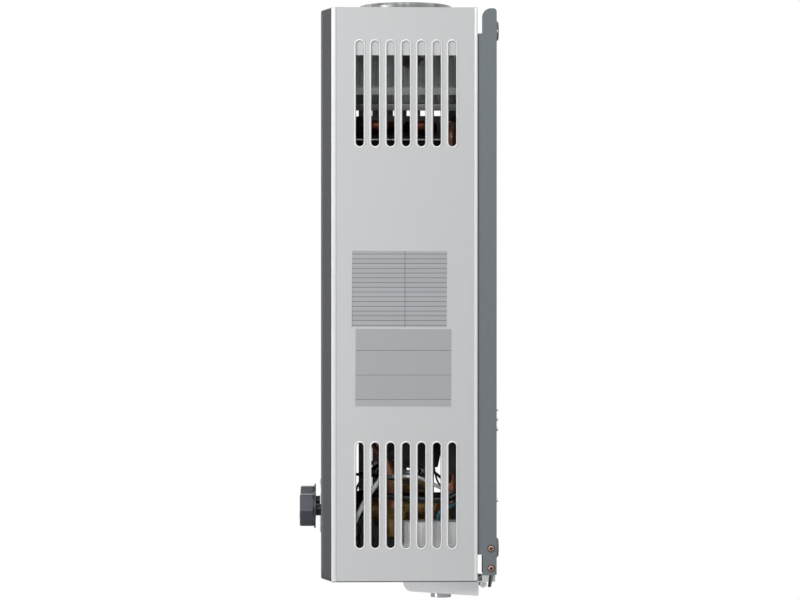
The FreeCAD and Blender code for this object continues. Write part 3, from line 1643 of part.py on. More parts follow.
def battery_case():
    x, out, bore = barrel_x(), barrel_out(), of("cell_bore") / 2
    top = level(of("box_top"))
    front, rear = barrel_y(0), barrel_y(1)
    hinge_y, hinge_z = -of("hinge_setback"), FOOT - of("hinge_drop")
    roll = of("hinge_radius") - 0.2
    foot_top = FOOT + 2.8
    castings = [
        rod(f"barrel_{index}", x, barrel_y(index), FOOT, "z", out, of("box_top"), BARREL_SIDES)
        for index in range(2)
    ]
    castings += [
        box("barrel_bridge", (x - 9, front, FOOT), (x + 9, rear, top)),
        box("barrel_rim", (x - out, front - out - 1.6, level(33)), (x + out, rear + out + 1.6, level(35))),
        box("barrel_foot", (x - out, front - out - 4, FOOT + SHEET), (x + out, rear + out + 4, foot_top)),
        box("hinge_lug", (x - 11.5, hinge_y - 5.2, hinge_z - 1.7), (x + 11.5, hinge_y, foot_top)),
        rod("hinge_lug_roll", x - 11.5, hinge_y, hinge_z, "x", roll, 23),
    ]
    drills = [
        rod(f"cell_bay_{index}", x, barrel_y(index), FOOT - 1, "z", bore, of("box_top") - 1.8, BARREL_SIDES)
        for index in range(2)
    ]
    drills.append(rod("lug_bore", x - 13, hinge_y, hinge_z, "x", 1.5, 26))
    node("battery_box", cut("battery_box", joined("battery_box_all", castings), drills))
    ceiling = top - 2.8
    springs = []
    for index in range(2):
        y = barrel_y(index)
        disc = rod(f"contact_plate_{index}", x, y, ceiling - 0.6, "z", 8.5, 0.6, PIPE_SIDES)
        coil = rod(f"contact_coil_{index}", x, y, ceiling - 4.6, "z", 5.0, 4.1, PIPE_SIDES)
        springs.append(joined(f"contact_{index}", [disc, coil]))
    node("battery_contacts", group("battery_contacts", springs))

    # The lid is a shallow cup that drops on a rear hinge
    low = FOOT - of("lid_drop") - 1.3
    half = out + of("lid_overhang")
    inner = half - 2
    lid_front, lid_rear = front - out, rear + out + 2.5
    shell = plate(
        "lid_shell",
        "x",
        x - half,
        x + half,
        [
            (lid_front, FOOT - FIT * 2),
            (lid_front, FOOT - 6.5),
            (lid_front + 1.6, FOOT - 9.6),
            (lid_front + 5.0, low),
            (lid_rear, low - of("lid_slope")),
            (lid_rear, FOOT - FIT * 2),
        ],
    )
    cup = box("lid_cup", (x - inner, lid_front + 2, FOOT - 9.2), (x + inner, lid_rear - 2, FOOT + 1))
    slope_cup = box("lid_deep_cup", (x - inner, front + 6, FOOT - 11.4), (x + inner, lid_rear - 2, FOOT + 1))
    notch = box("lid_notch", (x - 12, lid_rear - 3, FOOT - 9.4), (x + 12, lid_rear + 6, FOOT + 1))
    knuckles = []
    for tag, start, end in (("left", x - half, x - 12), ("right", x + 12, x + half)):
        knuckles.append(rod(f"lid_roll_{tag}", start, hinge_y, hinge_z, "x", roll, end - start))
        arm_low, arm_top = hinge_z - 3.6, hinge_z + 2.2
        knuckles.append(box(f"lid_arm_{tag}", (start, lid_rear - 1, arm_low), (end, hinge_y, arm_top)))
    cup_all = cut("lid_hollow", shell, [cup, slope_cup, notch])
    pin_bore = rod("lid_pin_bore", x - half - 1, hinge_y, hinge_z, "x", 1.5 + of("running_gap"), half * 2 + 2)
    node("battery_lid", cut("battery_lid", joined("battery_lid_all", [cup_all] + knuckles), [pin_bore]))
    node("lid_pin", rod("lid_pin", x - half, hinge_y, hinge_z, "x", 1.5, half * 2))


def electrics():
    # Ignition controller on a bracket behind the right-hand side, above the battery box
    inner, outer = controller_faces()
    rear = -of("controller_setback")
    front = rear - of("controller_depth")
    foot = level(of("controller_height"))
    crown = foot + of("controller_rise")
    body = new_body("controller_case")
    outline = [(inner, front), (outer, front), (outer, rear), (inner, rear)]
    pad = padded(body, "controller_pad", "z", foot, crown, outline)
    rounded(body, pad, "controller_corners", 2.5, lambda edge: along(edge, VECTOR(0, 0, 1)))
    sockets = [
        box(f"controller_socket_{number}", (start, front + 6, foot - 6), (start + 8, rear - 6, foot + 0.1))
        for number, start in enumerate((inner + 1.2, inner + 13.2))
    ]
    low, high = foot + 48, foot + 68
    outlets = box("controller_outlets", (inner + 2, front - 6, low), (outer - 1, front + 0.1, high))
    node("ignition_controller", joined("ignition_controller", [body, outlets] + sockets))
    side = of("rear_screw_offset")
    web_hold = box(
        "controller_foot_plate",
        (side - 10, WEB_FRONT - 1, foot + 30),
        (outer + 0.1, WEB_FRONT, foot + 69),
    )
    holes = [
        rod(f"controller_foot_hole_{number}", x, WEB_FRONT - 3, level(height), "y", 2.0, 5, SCREW_SIDES)
        for number, (x, height) in enumerate(rear_screw_spots()[2:5])
    ]
    arm = box("controller_arm", (outer, front + 6, foot + 30), (outer + 1, WEB_FRONT, foot + 69))
    web_hold = cut("controller_foot", web_hold, holes)
    node("controller_bracket", joined("controller_bracket", [web_hold, arm]))

    # Folded brackets tie the casing top and the battery box to the back plate
    brackets = []
    for tag, centre in (("left", -side), ("right", side)):
        z_bracket = plate(
            f"top_bracket_{tag}",
            "x",
            centre - 6,
            centre + 6,
            [
                (WEB_FRONT, level(548.9)),
                (WEB_FRONT, level(560)),
                (WEB_FRONT - 1, level(560)),
                (WEB_FRONT - 1, level(549.9)),
                (REAR + 1, level(549.9)),
                (REAR + 1, level(562)),
                (REAR, level(562)),
                (REAR, level(548.9)),
            ],
        )
        hole = rod(f"top_bracket_hole_{tag}", centre, WEB_FRONT - 3, level(553.9), "y", 2.0, 5, SCREW_SIDES)
        brackets.append(cut(f"top_bracket_cut_{tag}", z_bracket, [hole]))
    box_top = level(of("box_top"))
    strap = plate(
        "battery_strap",
        "x",
        side - 14,
        side + 4,
        [
            (WEB_FRONT, box_top),
            (WEB_FRONT, box_top + 28),
            (WEB_FRONT - 1, box_top + 28),
            (WEB_FRONT - 1, box_top + 1),
            (barrel_y(1), box_top + 1),
            (barrel_y(1), box_top),
        ],
    )
    strap_hole = rod("battery_strap_hole", side, WEB_FRONT - 3, level(79.4), "y", 2.0, 5, SCREW_SIDES)
    brackets.append(cut("battery_strap_cut", strap, [strap_hole]))
    node("plate_brackets", group("plate_brackets", brackets))

    # Self-tapping screws through the web, and pan-head screws in the side flanges
    rear_screws = []
    for number, (x, height) in enumerate(rear_screw_spots()):
        z = level(height)
        rear_screws.append(
            joined(
                f"rear_screw_{number}",
                [
                    rod(f"rear_screw_head_{number}", x, WEB_FRONT - 3.2, z, "y", 3.6, 2.1, SCREW_SIDES),
                    rod(f"rear_screw_shank_{number}", x, WEB_FRONT - 1.3, z, "y", 1.7, 5.4, SCREW_SIDES),
                ],
            )
        )
    node("plate_screws", group("plate_screws", rear_screws))
    flange_out = INSIDE - of("plate_side_gap")
    y = -of("screw_setback")
    pan_screws = []
    for tag, head_x, shank_x in (
        ("left", -flange_out - 1.9, -flange_out),
        ("right", flange_out, flange_out - 6),
    ):
        for mark in ("screw_low", "screw_high"):
            z = level(of(mark))
            head = rod(f"pan_head_{tag}_{mark}", head_x, y, z, "x", 3.0, 1.9, PIPE_SIDES)
            shank = rod(f"pan_shank_{tag}_{mark}", shank_x, y, z, "x", 1.5, 6, SCREW_SIDES)
            pan_screws.append(joined(f"pan_screw_{tag}_{mark}", [head, shank]))
    node("flange_screws", group("flange_screws", pan_screws))


def wiring():
    # High-tension leads from the controller to the three electrodes
    top = level(of("core_foot"))
    wall = CORE_Y - of("core_depth") / 2 + 1
    end_y = wall - 10
    side = controller_faces()[1]
    socket = level(of("controller_height")) - 6
    leads = []
    for number, x in enumerate(ELECTRODES):
        rise = 163 + 7 * number
        points = [
            (side - 16.8 + 5.5 * number, -62, level(rise)),
            (side - 15.8 + 5.0 * number, -100, level(rise + 2)),
            (side - 17.8 + 4.0 * number, -140, level(rise + 6)),
            (side - 38.0 + 4.0 * number, -161, level(rise + 12)),
            (x + 26, -163, top - 7 + 2 * number),
            (x, -163, top - 4.5),
            (x, end_y, top - 4.5),
        ]
        leads.append(lead(f"electrode_lead_{number}", points, 3.6))
    node("electrode_leads", group("electrode_leads", leads))
    # The gas solenoid's lead runs from the inner socket round the front of the valves
    solenoid_x = side - 17.8
    points = [
        (solenoid_x, -36, socket),
        (solenoid_x, -36, level(94)),
        (solenoid_x - 1, -44, level(80)),
        (solenoid_x - 1, -60, level(80)),
        (solenoid_x - 1, -80, level(94)),
        (solenoid_x, -112, level(102)),
        (120, -133, level(103.5)),
        (70, -126, level(104)),
        (10, -122, level(104)),
        (-60, -122, level(104.5)),
        (-104, -112, level(100)),
        (-112, -94, level(94)),
        (-112, -94, level(79)),
    ]
    node("solenoid_lead", lead("solenoid_lead", points, 3.6))
    # The battery lead and the display's harness share the outer socket
    x, y = barrel_x() - 3, barrel_y(0) + 17
    outer_x = side - 5.8
    points = [
        (x, y, level(of("box_top"))),
        (x, y, level(67)),
        (outer_x - 6, -48, level(74)),
        (outer_x, -30, level(86)),
        (outer_x, -28, level(96)),
        (outer_x, -28, socket),
    ]
    node("battery_lead", lead("battery_lead", points, 4.0))
    points = [
        (2, FRONT + SHEET + 21, KNOB_Z + 12),
        (2, -134, KNOB_Z + 12),
        (32, -129, level(84)),
        (80, -134, level(92)),
        (122, -134, level(90)),
        (outer_x - 6, -118, level(84)),
        (outer_x + 2, -84, level(81)),
        (outer_x + 1, -52, level(80)),
        (outer_x, -37, level(90)),
        (outer_x, -37, socket),
    ]
    node("display_harness", lead("display_harness", points, 7.0))


back_plate()
casing_wrap()
casing_ends()
front_panel()
display()
knobs()
flue_way()
exchanger()
pipework()
burner()
valves()
connections()
battery_case()
electrics()
wiring()

document.recompute()
faults = []
for piece in document.Objects:
    if "Invalid" in piece.State or "Error" in piece.State:
        faults.append(f"{piece.Name}: {piece.State}")
for piece in NODES:
    if piece.Shape.isNull() or not piece.Shape.isValid() or not piece.Shape.Solids:
        faults.append(f"{piece.Label}: shape not valid")
if faults:
    raise RuntimeError("; ".join(faults))

os.makedirs("parts", exist_ok=True)
for piece in NODES:
    piece.Shape.exportStep(f"parts/{piece.Label}.step")
print(len(NODES), "sub-parts written")
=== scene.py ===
# %% [markdown]
# This lesson dresses a wall-hung gas water heater. The measured steel parts come in as a fixed
# frame, and Blender gives them their finishes and the fine shapes that drawings leave out.
# Everything is in metres: X to the heater's right, Y into the wall, Z up.

# %% Load the frame
import math

import bmesh
import bpy
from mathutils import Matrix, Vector


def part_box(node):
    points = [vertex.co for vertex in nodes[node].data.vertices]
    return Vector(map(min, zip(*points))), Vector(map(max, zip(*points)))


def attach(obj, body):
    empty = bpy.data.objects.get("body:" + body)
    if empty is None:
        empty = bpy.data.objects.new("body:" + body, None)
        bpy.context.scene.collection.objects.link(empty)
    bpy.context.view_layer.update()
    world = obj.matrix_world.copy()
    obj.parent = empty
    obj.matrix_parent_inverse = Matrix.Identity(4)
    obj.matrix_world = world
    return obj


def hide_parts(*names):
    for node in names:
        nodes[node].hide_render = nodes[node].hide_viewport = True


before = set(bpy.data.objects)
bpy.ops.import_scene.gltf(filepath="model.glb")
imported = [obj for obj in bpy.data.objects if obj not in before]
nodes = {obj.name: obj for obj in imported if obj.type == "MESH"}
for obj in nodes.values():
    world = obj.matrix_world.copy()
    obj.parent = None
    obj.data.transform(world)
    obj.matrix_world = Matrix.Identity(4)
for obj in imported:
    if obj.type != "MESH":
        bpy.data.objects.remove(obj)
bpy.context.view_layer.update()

# %% [markdown]
# The drawings were made in millimetres, with heights counted from the foot of the casing, so
# two small helpers turn those into frame coordinates.

# %% Millimetres and heights
MM = 0.001
FOOT = -556


def mm(x, y, z):
    return Vector((x, y, z)) * MM


def level(height):
    """Height above the foot of the casing to frame Z, both in millimetres."""
    return FOOT + height


print("casing foot", level(0), "casing top", level(575.3))

# %% [markdown]
# The photograph was taken square on to the right-hand side from about two and a half metres,
# with a long lens: both the near flange and the far one show, but only by a few millimetres.
# The camera stands in line with the front panel and is turned a little towards the wall.

# %% Camera
EYE = mm(2770, -180.5, -263.6)
AIM = mm(170, -101.5, -273.6)
camera_data = bpy.data.cameras.new("side_camera")
camera_data.sensor_width = 36
camera_data.lens = 117
camera_data.clip_end = 30
camera = bpy.data.objects.new("side_camera", camera_data)
camera.location = EYE
camera.rotation_euler = (AIM - EYE).to_track_quat("-Z", "Y").to_euler()
bpy.context.scene.collection.objects.link(camera)
bpy.context.scene.camera = camera
print("camera distance", round((AIM - EYE).length, 3))

# %% [markdown]
# A pale studio: an even sky fills the shadows. A world may answer different rays differently,
# so the camera, mirrors and glass see it as white, while the light that falls on the heater is
# a weak grey. That keeps the background white without washing out the paint.

# %% Sky
bpy.context.scene.view_settings.view_transform = "Standard"
world = bpy.data.worlds.new("studio")
bpy.context.scene.world = world
world.use_nodes = True
sky = world.node_tree
sky.nodes.clear()
SKY_LIGHT = 0.25
path = sky.nodes.new("ShaderNodeLightPath")
seen = sky.nodes.new("ShaderNodeMath")
seen.operation = "ADD"
clear = sky.nodes.new("ShaderNodeMath")
clear.operation = "ADD"
clear.use_clamp = True
fill = sky.nodes.new("ShaderNodeBackground")
fill.inputs["Color"].default_value = (1, 1, 1, 1)
fill.inputs["Strength"].default_value = SKY_LIGHT
white = sky.nodes.new("ShaderNodeBackground")
white.inputs["Color"].default_value = (1, 1, 1, 1)
either = sky.nodes.new("ShaderNodeMixShader")
sky_out = sky.nodes.new("ShaderNodeOutputWorld")
sky.links.new(path.outputs["Is Camera Ray"], seen.inputs[0])
sky.links.new(path.outputs["Is Glossy Ray"], seen.inputs[1])
sky.links.new(seen.outputs[0], clear.inputs[0])
sky.links.new(path.outputs["Is Transmission Ray"], clear.inputs[1])
sky.links.new(clear.outputs[0], either.inputs["Fac"])
sky.links.new(fill.outputs[0], either.inputs[1])
sky.links.new(white.outputs[0], either.inputs[2])
sky.links.new(either.outputs[0], sky_out.inputs["Surface"])
print("sky light", SKY_LIGHT)

# %% [markdown]
# Soft lamps model the form. A large one, high up on the right, lights the side. A tall narrow
# one stands close by, half in front, so that the folded front edge catches a bright line. Two
# weak ones keep the front and the top from going dark.


# %% Lamps
def soft_lamp(name, place, aim, width, height, watts):
    lamp_data = bpy.data.lights.new(name, "AREA")
    lamp_data.shape = "RECTANGLE"
    lamp_data.size = width
    lamp_data.size_y = height
    lamp_data.energy = watts
    lamp = bpy.data.objects.new(name, lamp_data)
    lamp.location = place
    lamp.rotation_euler = (Vector(aim) - Vector(place)).to_track_quat("-Z", "Y").to_euler()
    bpy.context.scene.collection.objects.link(lamp)


HEATER_CENTRE = (0, -0.09, -0.26)
LAMPS = (
    ("side_lamp", (2.5, -0.45, 1.6), HEATER_CENTRE, 1.3, 1.3, 34),
    ("strip_lamp", (0.62, -0.98, -0.26), (0.15, -0.13, -0.26), 0.22, 1.3, 6.5),
    ("front_lamp", (-0.9, -2.6, 0.8), HEATER_CENTRE, 1.6, 1.6, 16),
    ("top_lamp", (0.2, 0.1, 2.4), HEATER_CENTRE, 1.4, 1.4, 14),
)
for row in LAMPS:
    soft_lamp(*row)
print("lamps", len(LAMPS))

# %% [markdown]
# The heater hangs on a wall, so the floor lies a little below its pipe ends. Its plain pale
# paint keeps the shadow near the heater and turns white within a metre of it, so that no edge
# of the floor shows against the background.

# %% Floor
FLOOR_LEVEL = -0.75
bpy.ops.object.select_all(action="DESELECT")
bpy.ops.mesh.primitive_circle_add(vertices=96, radius=8, fill_type="NGON", location=(0, 0, FLOOR_LEVEL))
floor = bpy.context.object
floor.name = "floor"
floor_paint = bpy.data.materials.new("floor_paint")
floor_paint.use_nodes = True
tree = floor_paint.node_tree
shader = tree.nodes["Principled BSDF"]
shader.inputs["Base Color"].default_value = (0.86, 0.86, 0.86, 1)
shader.inputs["Roughness"].default_value = 0.9
where = tree.nodes.new("ShaderNodeTexCoord")
reach = tree.nodes.new("ShaderNodeVectorMath")
reach.operation = "LENGTH"
fade = tree.nodes.new("ShaderNodeMapRange")
fade.inputs["From Min"].default_value = 0.35
fade.inputs["From Max"].default_value = 1.0
fade.inputs["To Min"].default_value = 0.12
fade.inputs["To Max"].default_value = 1.0
rays = tree.nodes.new("ShaderNodeLightPath")
shown = tree.nodes.new("ShaderNodeMath")
shown.operation = "MULTIPLY"
glow = tree.nodes.new("ShaderNodeEmission")
blend_floor = tree.nodes.new("ShaderNodeMixShader")
tree.links.new(where.outputs["Object"], reach.inputs[0])
tree.links.new(reach.outputs["Value"], fade.inputs["Value"])
tree.links.new(fade.outputs[0], shown.inputs[0])
tree.links.new(rays.outputs["Is Camera Ray"], shown.inputs[1])
tree.links.new(shown.outputs[0], blend_floor.inputs["Fac"])
tree.links.new(shader.outputs[0], blend_floor.inputs[1])
tree.links.new(glow.outputs[0], blend_floor.inputs[2])
tree.links.new(blend_floor.outputs[0], tree.nodes["Material Output"].inputs["Surface"])
floor.data.materials.append(floor_paint)
print("floor at", FLOOR_LEVEL)

# %% [markdown]
# Every finish here starts the same way: a plain material under its name, and a noise pattern placed by
# Object coordinates, which are metres on the heater. An image could be wrapped on instead, but noise needs
# no unwrapping and stays sharp from close by. Colours are judged as they show on screen, and turned into
# the linear values that a shader takes.

# %% Colours and patterns
finishes = {}


def linear(red, green, blue):
    """A colour as it shows on screen, 0 to 255, to the linear value a shader takes."""

    def channel(value):
        share = value / 255
        return share / 12.92 if share <= 0.04045 else ((share + 0.055) / 1.055) ** 2.4

    return (channel(red), channel(green), channel(blue), 1)


def blank_finish(name, roughness, metallic=0.0):
    finish = bpy.data.materials.new(name)
    finish.use_nodes = True
    shader = finish.node_tree.nodes["Principled BSDF"]
    shader.inputs["Roughness"].default_value = roughness
    shader.inputs["Metallic"].default_value = metallic
    finishes[name] = finish
    return finish.node_tree, shader


def placed(tree, scale=(1, 1, 1), centre=(0, 0, 0)):
    """Object coordinates, centred and stretched by a Mapping node."""
    coordinates = tree.nodes.new("ShaderNodeTexCoord")
    mapping = tree.nodes.new("ShaderNodeMapping")
    mapping.inputs["Location"].default_value = [-c * s for c, s in zip(centre, scale)]
    mapping.inputs["Scale"].default_value = scale
    tree.links.new(coordinates.outputs["Object"], mapping.inputs["Vector"])
    return mapping.outputs["Vector"]


def noise(tree, vector, scale, detail=3):
    texture = tree.nodes.new("ShaderNodeTexNoise")
    texture.inputs["Scale"].default_value = scale
    texture.inputs["Detail"].default_value = detail
    texture.inputs["Roughness"].default_value = 0.55
    tree.links.new(vector, texture.inputs["Vector"])
    return texture.outputs["Fac"]


print("pattern helpers ready")

# %% [markdown]
# Nothing real is one even colour. A pattern does three jobs here: a ramp turns it into two close
# colours, a range turns it into more and less gloss, and a bump makes it catch the light as a
# surface would that is uneven by a few hundredths of a millimetre.


# %% Patterns into colour, gloss and bump
def two_tone(tree, shader, pattern, dark, light, low=0.3, high=0.7):
    """A pattern turned into the range between two colours, and sent to the base colour."""
    ramp = tree.nodes.new("ShaderNodeValToRGB")
    ramp.color_ramp.elements[0].position = low
    ramp.color_ramp.elements[0].color = linear(*dark)
    ramp.color_ramp.elements[1].position = high
    ramp.color_ramp.elements[1].color = linear(*light)
    tree.links.new(pattern, ramp.inputs["Fac"])
    tree.links.new(ramp.outputs["Color"], shader.inputs["Base Color"])


def uneven_gloss(tree, shader, pattern, low, high):
    """A pattern turned into a range of roughness."""
    ranged = tree.nodes.new("ShaderNodeMapRange")
    ranged.inputs["To Min"].default_value = low
    ranged.inputs["To Max"].default_value = high
    tree.links.new(pattern, ranged.inputs["Value"])
    tree.links.new(ranged.outputs[0], shader.inputs["Roughness"])


def raised(tree, shader, pattern, depth):
    """Bump of a real depth in millimetres."""
    bump = tree.nodes.new("ShaderNodeBump")
    bump.inputs["Distance"].default_value = depth * MM
    bump.inputs["Strength"].default_value = 1.0
    tree.links.new(pattern, bump.inputs["Height"])
    tree.links.new(bump.outputs["Normal"], shader.inputs["Normal"])


print("surface helpers ready")

# %% [markdown]
# The casing is sheet steel under a silver powder coat. Close up such paint is a fine mix of bright flakes
# in grey, with a faint orange peel, so a tight noise makes the sparkle and a slower one the peel. The back
# plate has the same paint in a bluer grey, the front a dark one. A paler copy of the casing paint is a
# painted highlight on rims and hems, and it is also the pale paint of the pointers and ticks. A dark grey
# and a near black are painted shade at cut edges, seams, screws and tongues, which draws the edges of the
# sheet.

# %% Painted steel
FLAKE_SCALE = 2600
PEEL_SCALE = 420
PEEL_DEPTH = 0.02


def flake_paint(name, dark, light, roughness, metallic):
    tree, shader = blank_finish(name, roughness, metallic)
    flakes = noise(tree, placed(tree), FLAKE_SCALE, detail=1)
    two_tone(tree, shader, flakes, dark, light, 0.35, 0.65)
    uneven_gloss(tree, shader, flakes, roughness - 0.05, roughness + 0.07)
    raised(tree, shader, noise(tree, placed(tree), PEEL_SCALE, detail=2), PEEL_DEPTH)


flake_paint("casing_paint", (190, 191, 192), (204, 205, 206), 0.46, 0.15)
# painted highlight: a paler copy of the casing paint for the rims and hems, and the pale paint of the
# pointers and ticks
flake_paint("highlight_and_marking_paint", (218, 219, 220), (232, 233, 234), 0.38, 0.2)
# painted shade: a dark grey for cut edges and seams, and a near black for deeper shadow lines
flake_paint("shade_grey_paint", (82, 83, 85), (98, 99, 101), 0.6, 0.1)
flake_paint("shadow_paint", (20, 21, 22), (32, 33, 34), 0.7, 0.0)
flake_paint("plate_steel", (103, 110, 113), (117, 124, 127), 0.46, 0.25)
flake_paint("front_paint", (68, 68, 71), (80, 81, 83), 0.4, 0.3)
clear_coat = finishes["casing_paint"].node_tree.nodes["Principled BSDF"]
clear_coat.inputs["Coat Weight"].default_value = 0.2
clear_coat.inputs["Coat Roughness"].default_value = 0.18
print("paints", sorted(finishes))

# %% [markdown]
# Zinc on galvanised sheet freezes into flat crystals, the spangle. A Voronoi texture gives each crystal
# its own grey and gloss. The hood has darker and duller zinc, with upright streaks from dark to near
# white: the streaks are painted reflection, and their pale end is painted light too, as little light
# reaches the hood inside the casing. The collar's streaks are broader and harder: they are a painted
# reflection of the room in upright bands, as a bright round wall would mirror it.

# %% Galvanised sheet
SPANGLE_SCALE = 110


def zinc(name, dark, light, roughness, metallic=0.92, streak=0.25, streak_scale=160):
    tree, shader = blank_finish(name, roughness, metallic)
    cells = tree.nodes.new("ShaderNodeTexVoronoi")
    cells.inputs["Scale"].default_value = SPANGLE_SCALE
    tree.links.new(placed(tree), cells.inputs["Vector"])
    streaks = noise(tree, placed(tree, (1, 1, 0.03)), streak_scale, detail=4)
    tone = tree.nodes.new("ShaderNodeMix")
    tone.inputs["Factor"].default_value = streak
    grey = tree.nodes.new("ShaderNodeRGBToBW")
    tree.links.new(cells.outputs["Color"], grey.inputs[0])
    tree.links.new(grey.outputs[0], tone.inputs[2])
    tree.links.new(streaks, tone.inputs[3])
    two_tone(tree, shader, tone.outputs[0], dark, light, 0.2, 0.8)
    uneven_gloss(tree, shader, tone.outputs[0], roughness - 0.12, roughness + 0.12)
    raised(tree, shader, streaks, 0.02)


zinc("bright_galvanised", (150, 153, 156), (214, 216, 219), 0.34)
# painted reflection and painted light: the hood's streaks and their pale end
zinc("galvanised", (104, 106, 107), (232, 235, 236), 0.44, 0.3, streak=0.85, streak_scale=420)
# painted reflection: the collar's dark and bright upright bands
zinc("collar_reflection_zinc", (24, 26, 28), (186, 188, 190), 0.32, 0.75, streak=0.97, streak_scale=58)
# painted highlight: the hood's lip, near white in the shade inside the casing
zinc("lip_highlight_zinc", (226, 228, 229), (250, 251, 252), 0.42, 0.1, streak=0.6, streak_scale=300)
print("zinc finishes made")

# %% [markdown]
# Copper that has carried flame heat is not one colour: bright where the tube was drawn, brown where it
# oxidised. The water pipes' copper is also made darker upwards, and the exchanger tubes take a near-black
# copper. The fin block is copper under a dull lead-tin coat, which turns it grey. The valve bodies are
# cast, so their grain is coarser and their faces duller.


# %% Copper, brass and cast metal
def bare_metal(
    name, dark, light, roughness, metallic=1.0,
    stretch=(1, 1, 1), grain_scale=700, grain_depth=0.01, patch_scale=30,
):
    """Metal without paint: stains of two tones, and drawing or casting grain in the gloss."""
    tree, shader = blank_finish(name, roughness, metallic)
    two_tone(tree, shader, noise(tree, placed(tree), patch_scale, detail=5), dark, light)
    grain = noise(tree, placed(tree, stretch), grain_scale, detail=4)
    uneven_gloss(tree, shader, grain, roughness - 0.1, roughness + 0.14)
    raised(tree, shader, grain, grain_depth)


def darken_upwards(finish, tint, low, high):
    """Darkens a metal upwards, between two heights in metres."""
    tree = finish.node_tree
    base = tree.nodes["Principled BSDF"].inputs["Base Color"]
    height = tree.nodes.new("ShaderNodeSeparateXYZ")
    tree.links.new(placed(tree), height.inputs[0])
    upward = tree.nodes.new("ShaderNodeMapRange")
    upward.inputs["From Min"].default_value = low
    upward.inputs["From Max"].default_value = high
    upward.inputs["To Max"].default_value = 0.85
    tree.links.new(height.outputs["Z"], upward.inputs["Value"])
    blend = tree.nodes.new("ShaderNodeMix")
    blend.data_type = "RGBA"
    tree.links.new(upward.outputs[0], blend.inputs[0])
    tree.links.new(base.links[0].from_socket, blend.inputs[6])
    blend.inputs[7].default_value = linear(*tint)
    tree.links.new(blend.outputs[2], base)


bare_metal("copper", (172, 96, 68), (246, 178, 144), 0.28, 0.5, patch_scale=38)
# the pipes' copper turns darker upwards between these heights, and the exchanger tubes' copper is near
# black
darken_upwards(finishes["copper"], (44, 27, 22), -0.32, -0.2)
bare_metal("dark_copper", (34, 20, 17), (104, 58, 44), 0.38, patch_scale=60)
bare_metal("tinned_copper", (34, 31, 29), (74, 66, 60), 0.46, 0.7)
bare_metal(
    "brass", (128, 94, 48), (224, 186, 116), 0.36, 0.55, grain_scale=1400, grain_depth=0.03, patch_scale=70
)
bare_metal("valve_alloy", (104, 105, 106), (186, 187, 188), 0.5, 0.4, grain_scale=1500, grain_depth=0.05)
bare_metal("manifold_alloy", (16, 17, 18), (52, 54, 57), 0.26, grain_scale=1200, grain_depth=0.03)
print("copper and castings made")

# %% [markdown]
# Small steel parts are drawn, turned or pressed, and their grain runs one way. Stretching the
# noise along the part's own axis gives that grain. Some screws are plated with a warm tint.

# %% Steel parts
bare_metal("spindle_steel", (150, 152, 155), (206, 208, 210), 0.28, stretch=(1, 0.05, 1))
bare_metal("burner_steel", (24, 23, 22), (74, 71, 69), 0.38, stretch=(0.1, 1, 1))
bare_metal("stub_metal", (140, 142, 145), (216, 217, 219), 0.3, stretch=(1, 1, 0.1))
bare_metal("screw_steel", (150, 150, 148), (205, 205, 202), 0.32)
bare_metal("screw_tinted", (150, 112, 96), (208, 172, 158), 0.34)
bare_metal("black_steel", (16, 16, 17), (40, 41, 42), 0.34, 0.6, stretch=(1, 0.05, 1))
bare_metal("tube_alloy", (190, 190, 188), (242, 242, 240), 0.26, 0.4)
bare_metal("contact_steel", (168, 168, 164), (218, 217, 212), 0.25)
bare_metal("sensor_body", (148, 146, 140), (200, 198, 192), 0.35)
bare_metal("bezel_metal", (168, 171, 175), (214, 216, 219), 0.26, grain_scale=1800)
print("steel finishes made")

# %% [markdown]
# Moulded parts: spark-eroded moulds leave a fine even grain, coarser on the knobs than on the battery box.
# The display window is smooth smoked acrylic, dark right through. On the thin leads the patches of colour
# are finer, so that they show at that size, and on the teal lead the bright cyan of the patches is a
# painted highlight, glints on a dark green sleeve.


# %% Plastics, glass and ceramic
def coated(name, dark, light, roughness, grain_scale, grain_depth, metallic=0.0, patch_scale=9):
    """Moulded plastic or glaze: slow patches of two close colours, under a fine even grain."""
    tree, shader = blank_finish(name, roughness, metallic)
    patches = noise(tree, placed(tree), patch_scale)
    two_tone(tree, shader, patches, dark, light)
    raised(tree, shader, noise(tree, placed(tree), grain_scale, detail=2), grain_depth)
    uneven_gloss(tree, shader, patches, roughness - 0.04, roughness + 0.04)


coated("knob_plastic", (54, 59, 65), (64, 69, 75), 0.4, 1500, 0.03, metallic=0.15)
coated("dark_plastic", (46, 48, 50), (62, 64, 66), 0.5, 1500, 0.03)
coated("box_plastic", (244, 245, 246), (252, 252, 253), 0.42, 1200, 0.02)
coated("lid_plastic", (232, 234, 235), (243, 244, 245), 0.42, 1200, 0.02)
coated("controller_plastic", (17, 18, 19), (28, 29, 31), 0.5, 1400, 0.03)
coated("solenoid_black", (22, 22, 23), (34, 34, 35), 0.4, 900, 0.04)
coated("lead_black", (10, 10, 11), (22, 22, 24), 0.34, 900, 0.02, patch_scale=60)
coated("lead_grey", (158, 160, 160), (216, 218, 218), 0.42, 900, 0.05, patch_scale=220)
# painted highlight: the bright cyan end of the teal lead's patches
coated("lead_teal", (8, 44, 40), (84, 184, 204), 0.36, 900, 0.02, patch_scale=130)
coated("ceramic_white", (226, 222, 212), (240, 237, 230), 0.2, 500, 0.02)
coated("display_glass", (12, 13, 15), (20, 21, 24), 0.08, 300, 0.004)
window = finishes["display_glass"].node_tree.nodes["Principled BSDF"]
window.inputs["Coat Weight"].default_value = 0.6
print("finishes in all", len(finishes))

# %% [markdown]
# The frame's meshes already carry one material slot each, named after the finish they want, so
# dressing them is a matter of looking that name up and putting the finish into the slot. Three
# nodes then get a finish of their own: the rolled collar, and the black stems of the knobs.

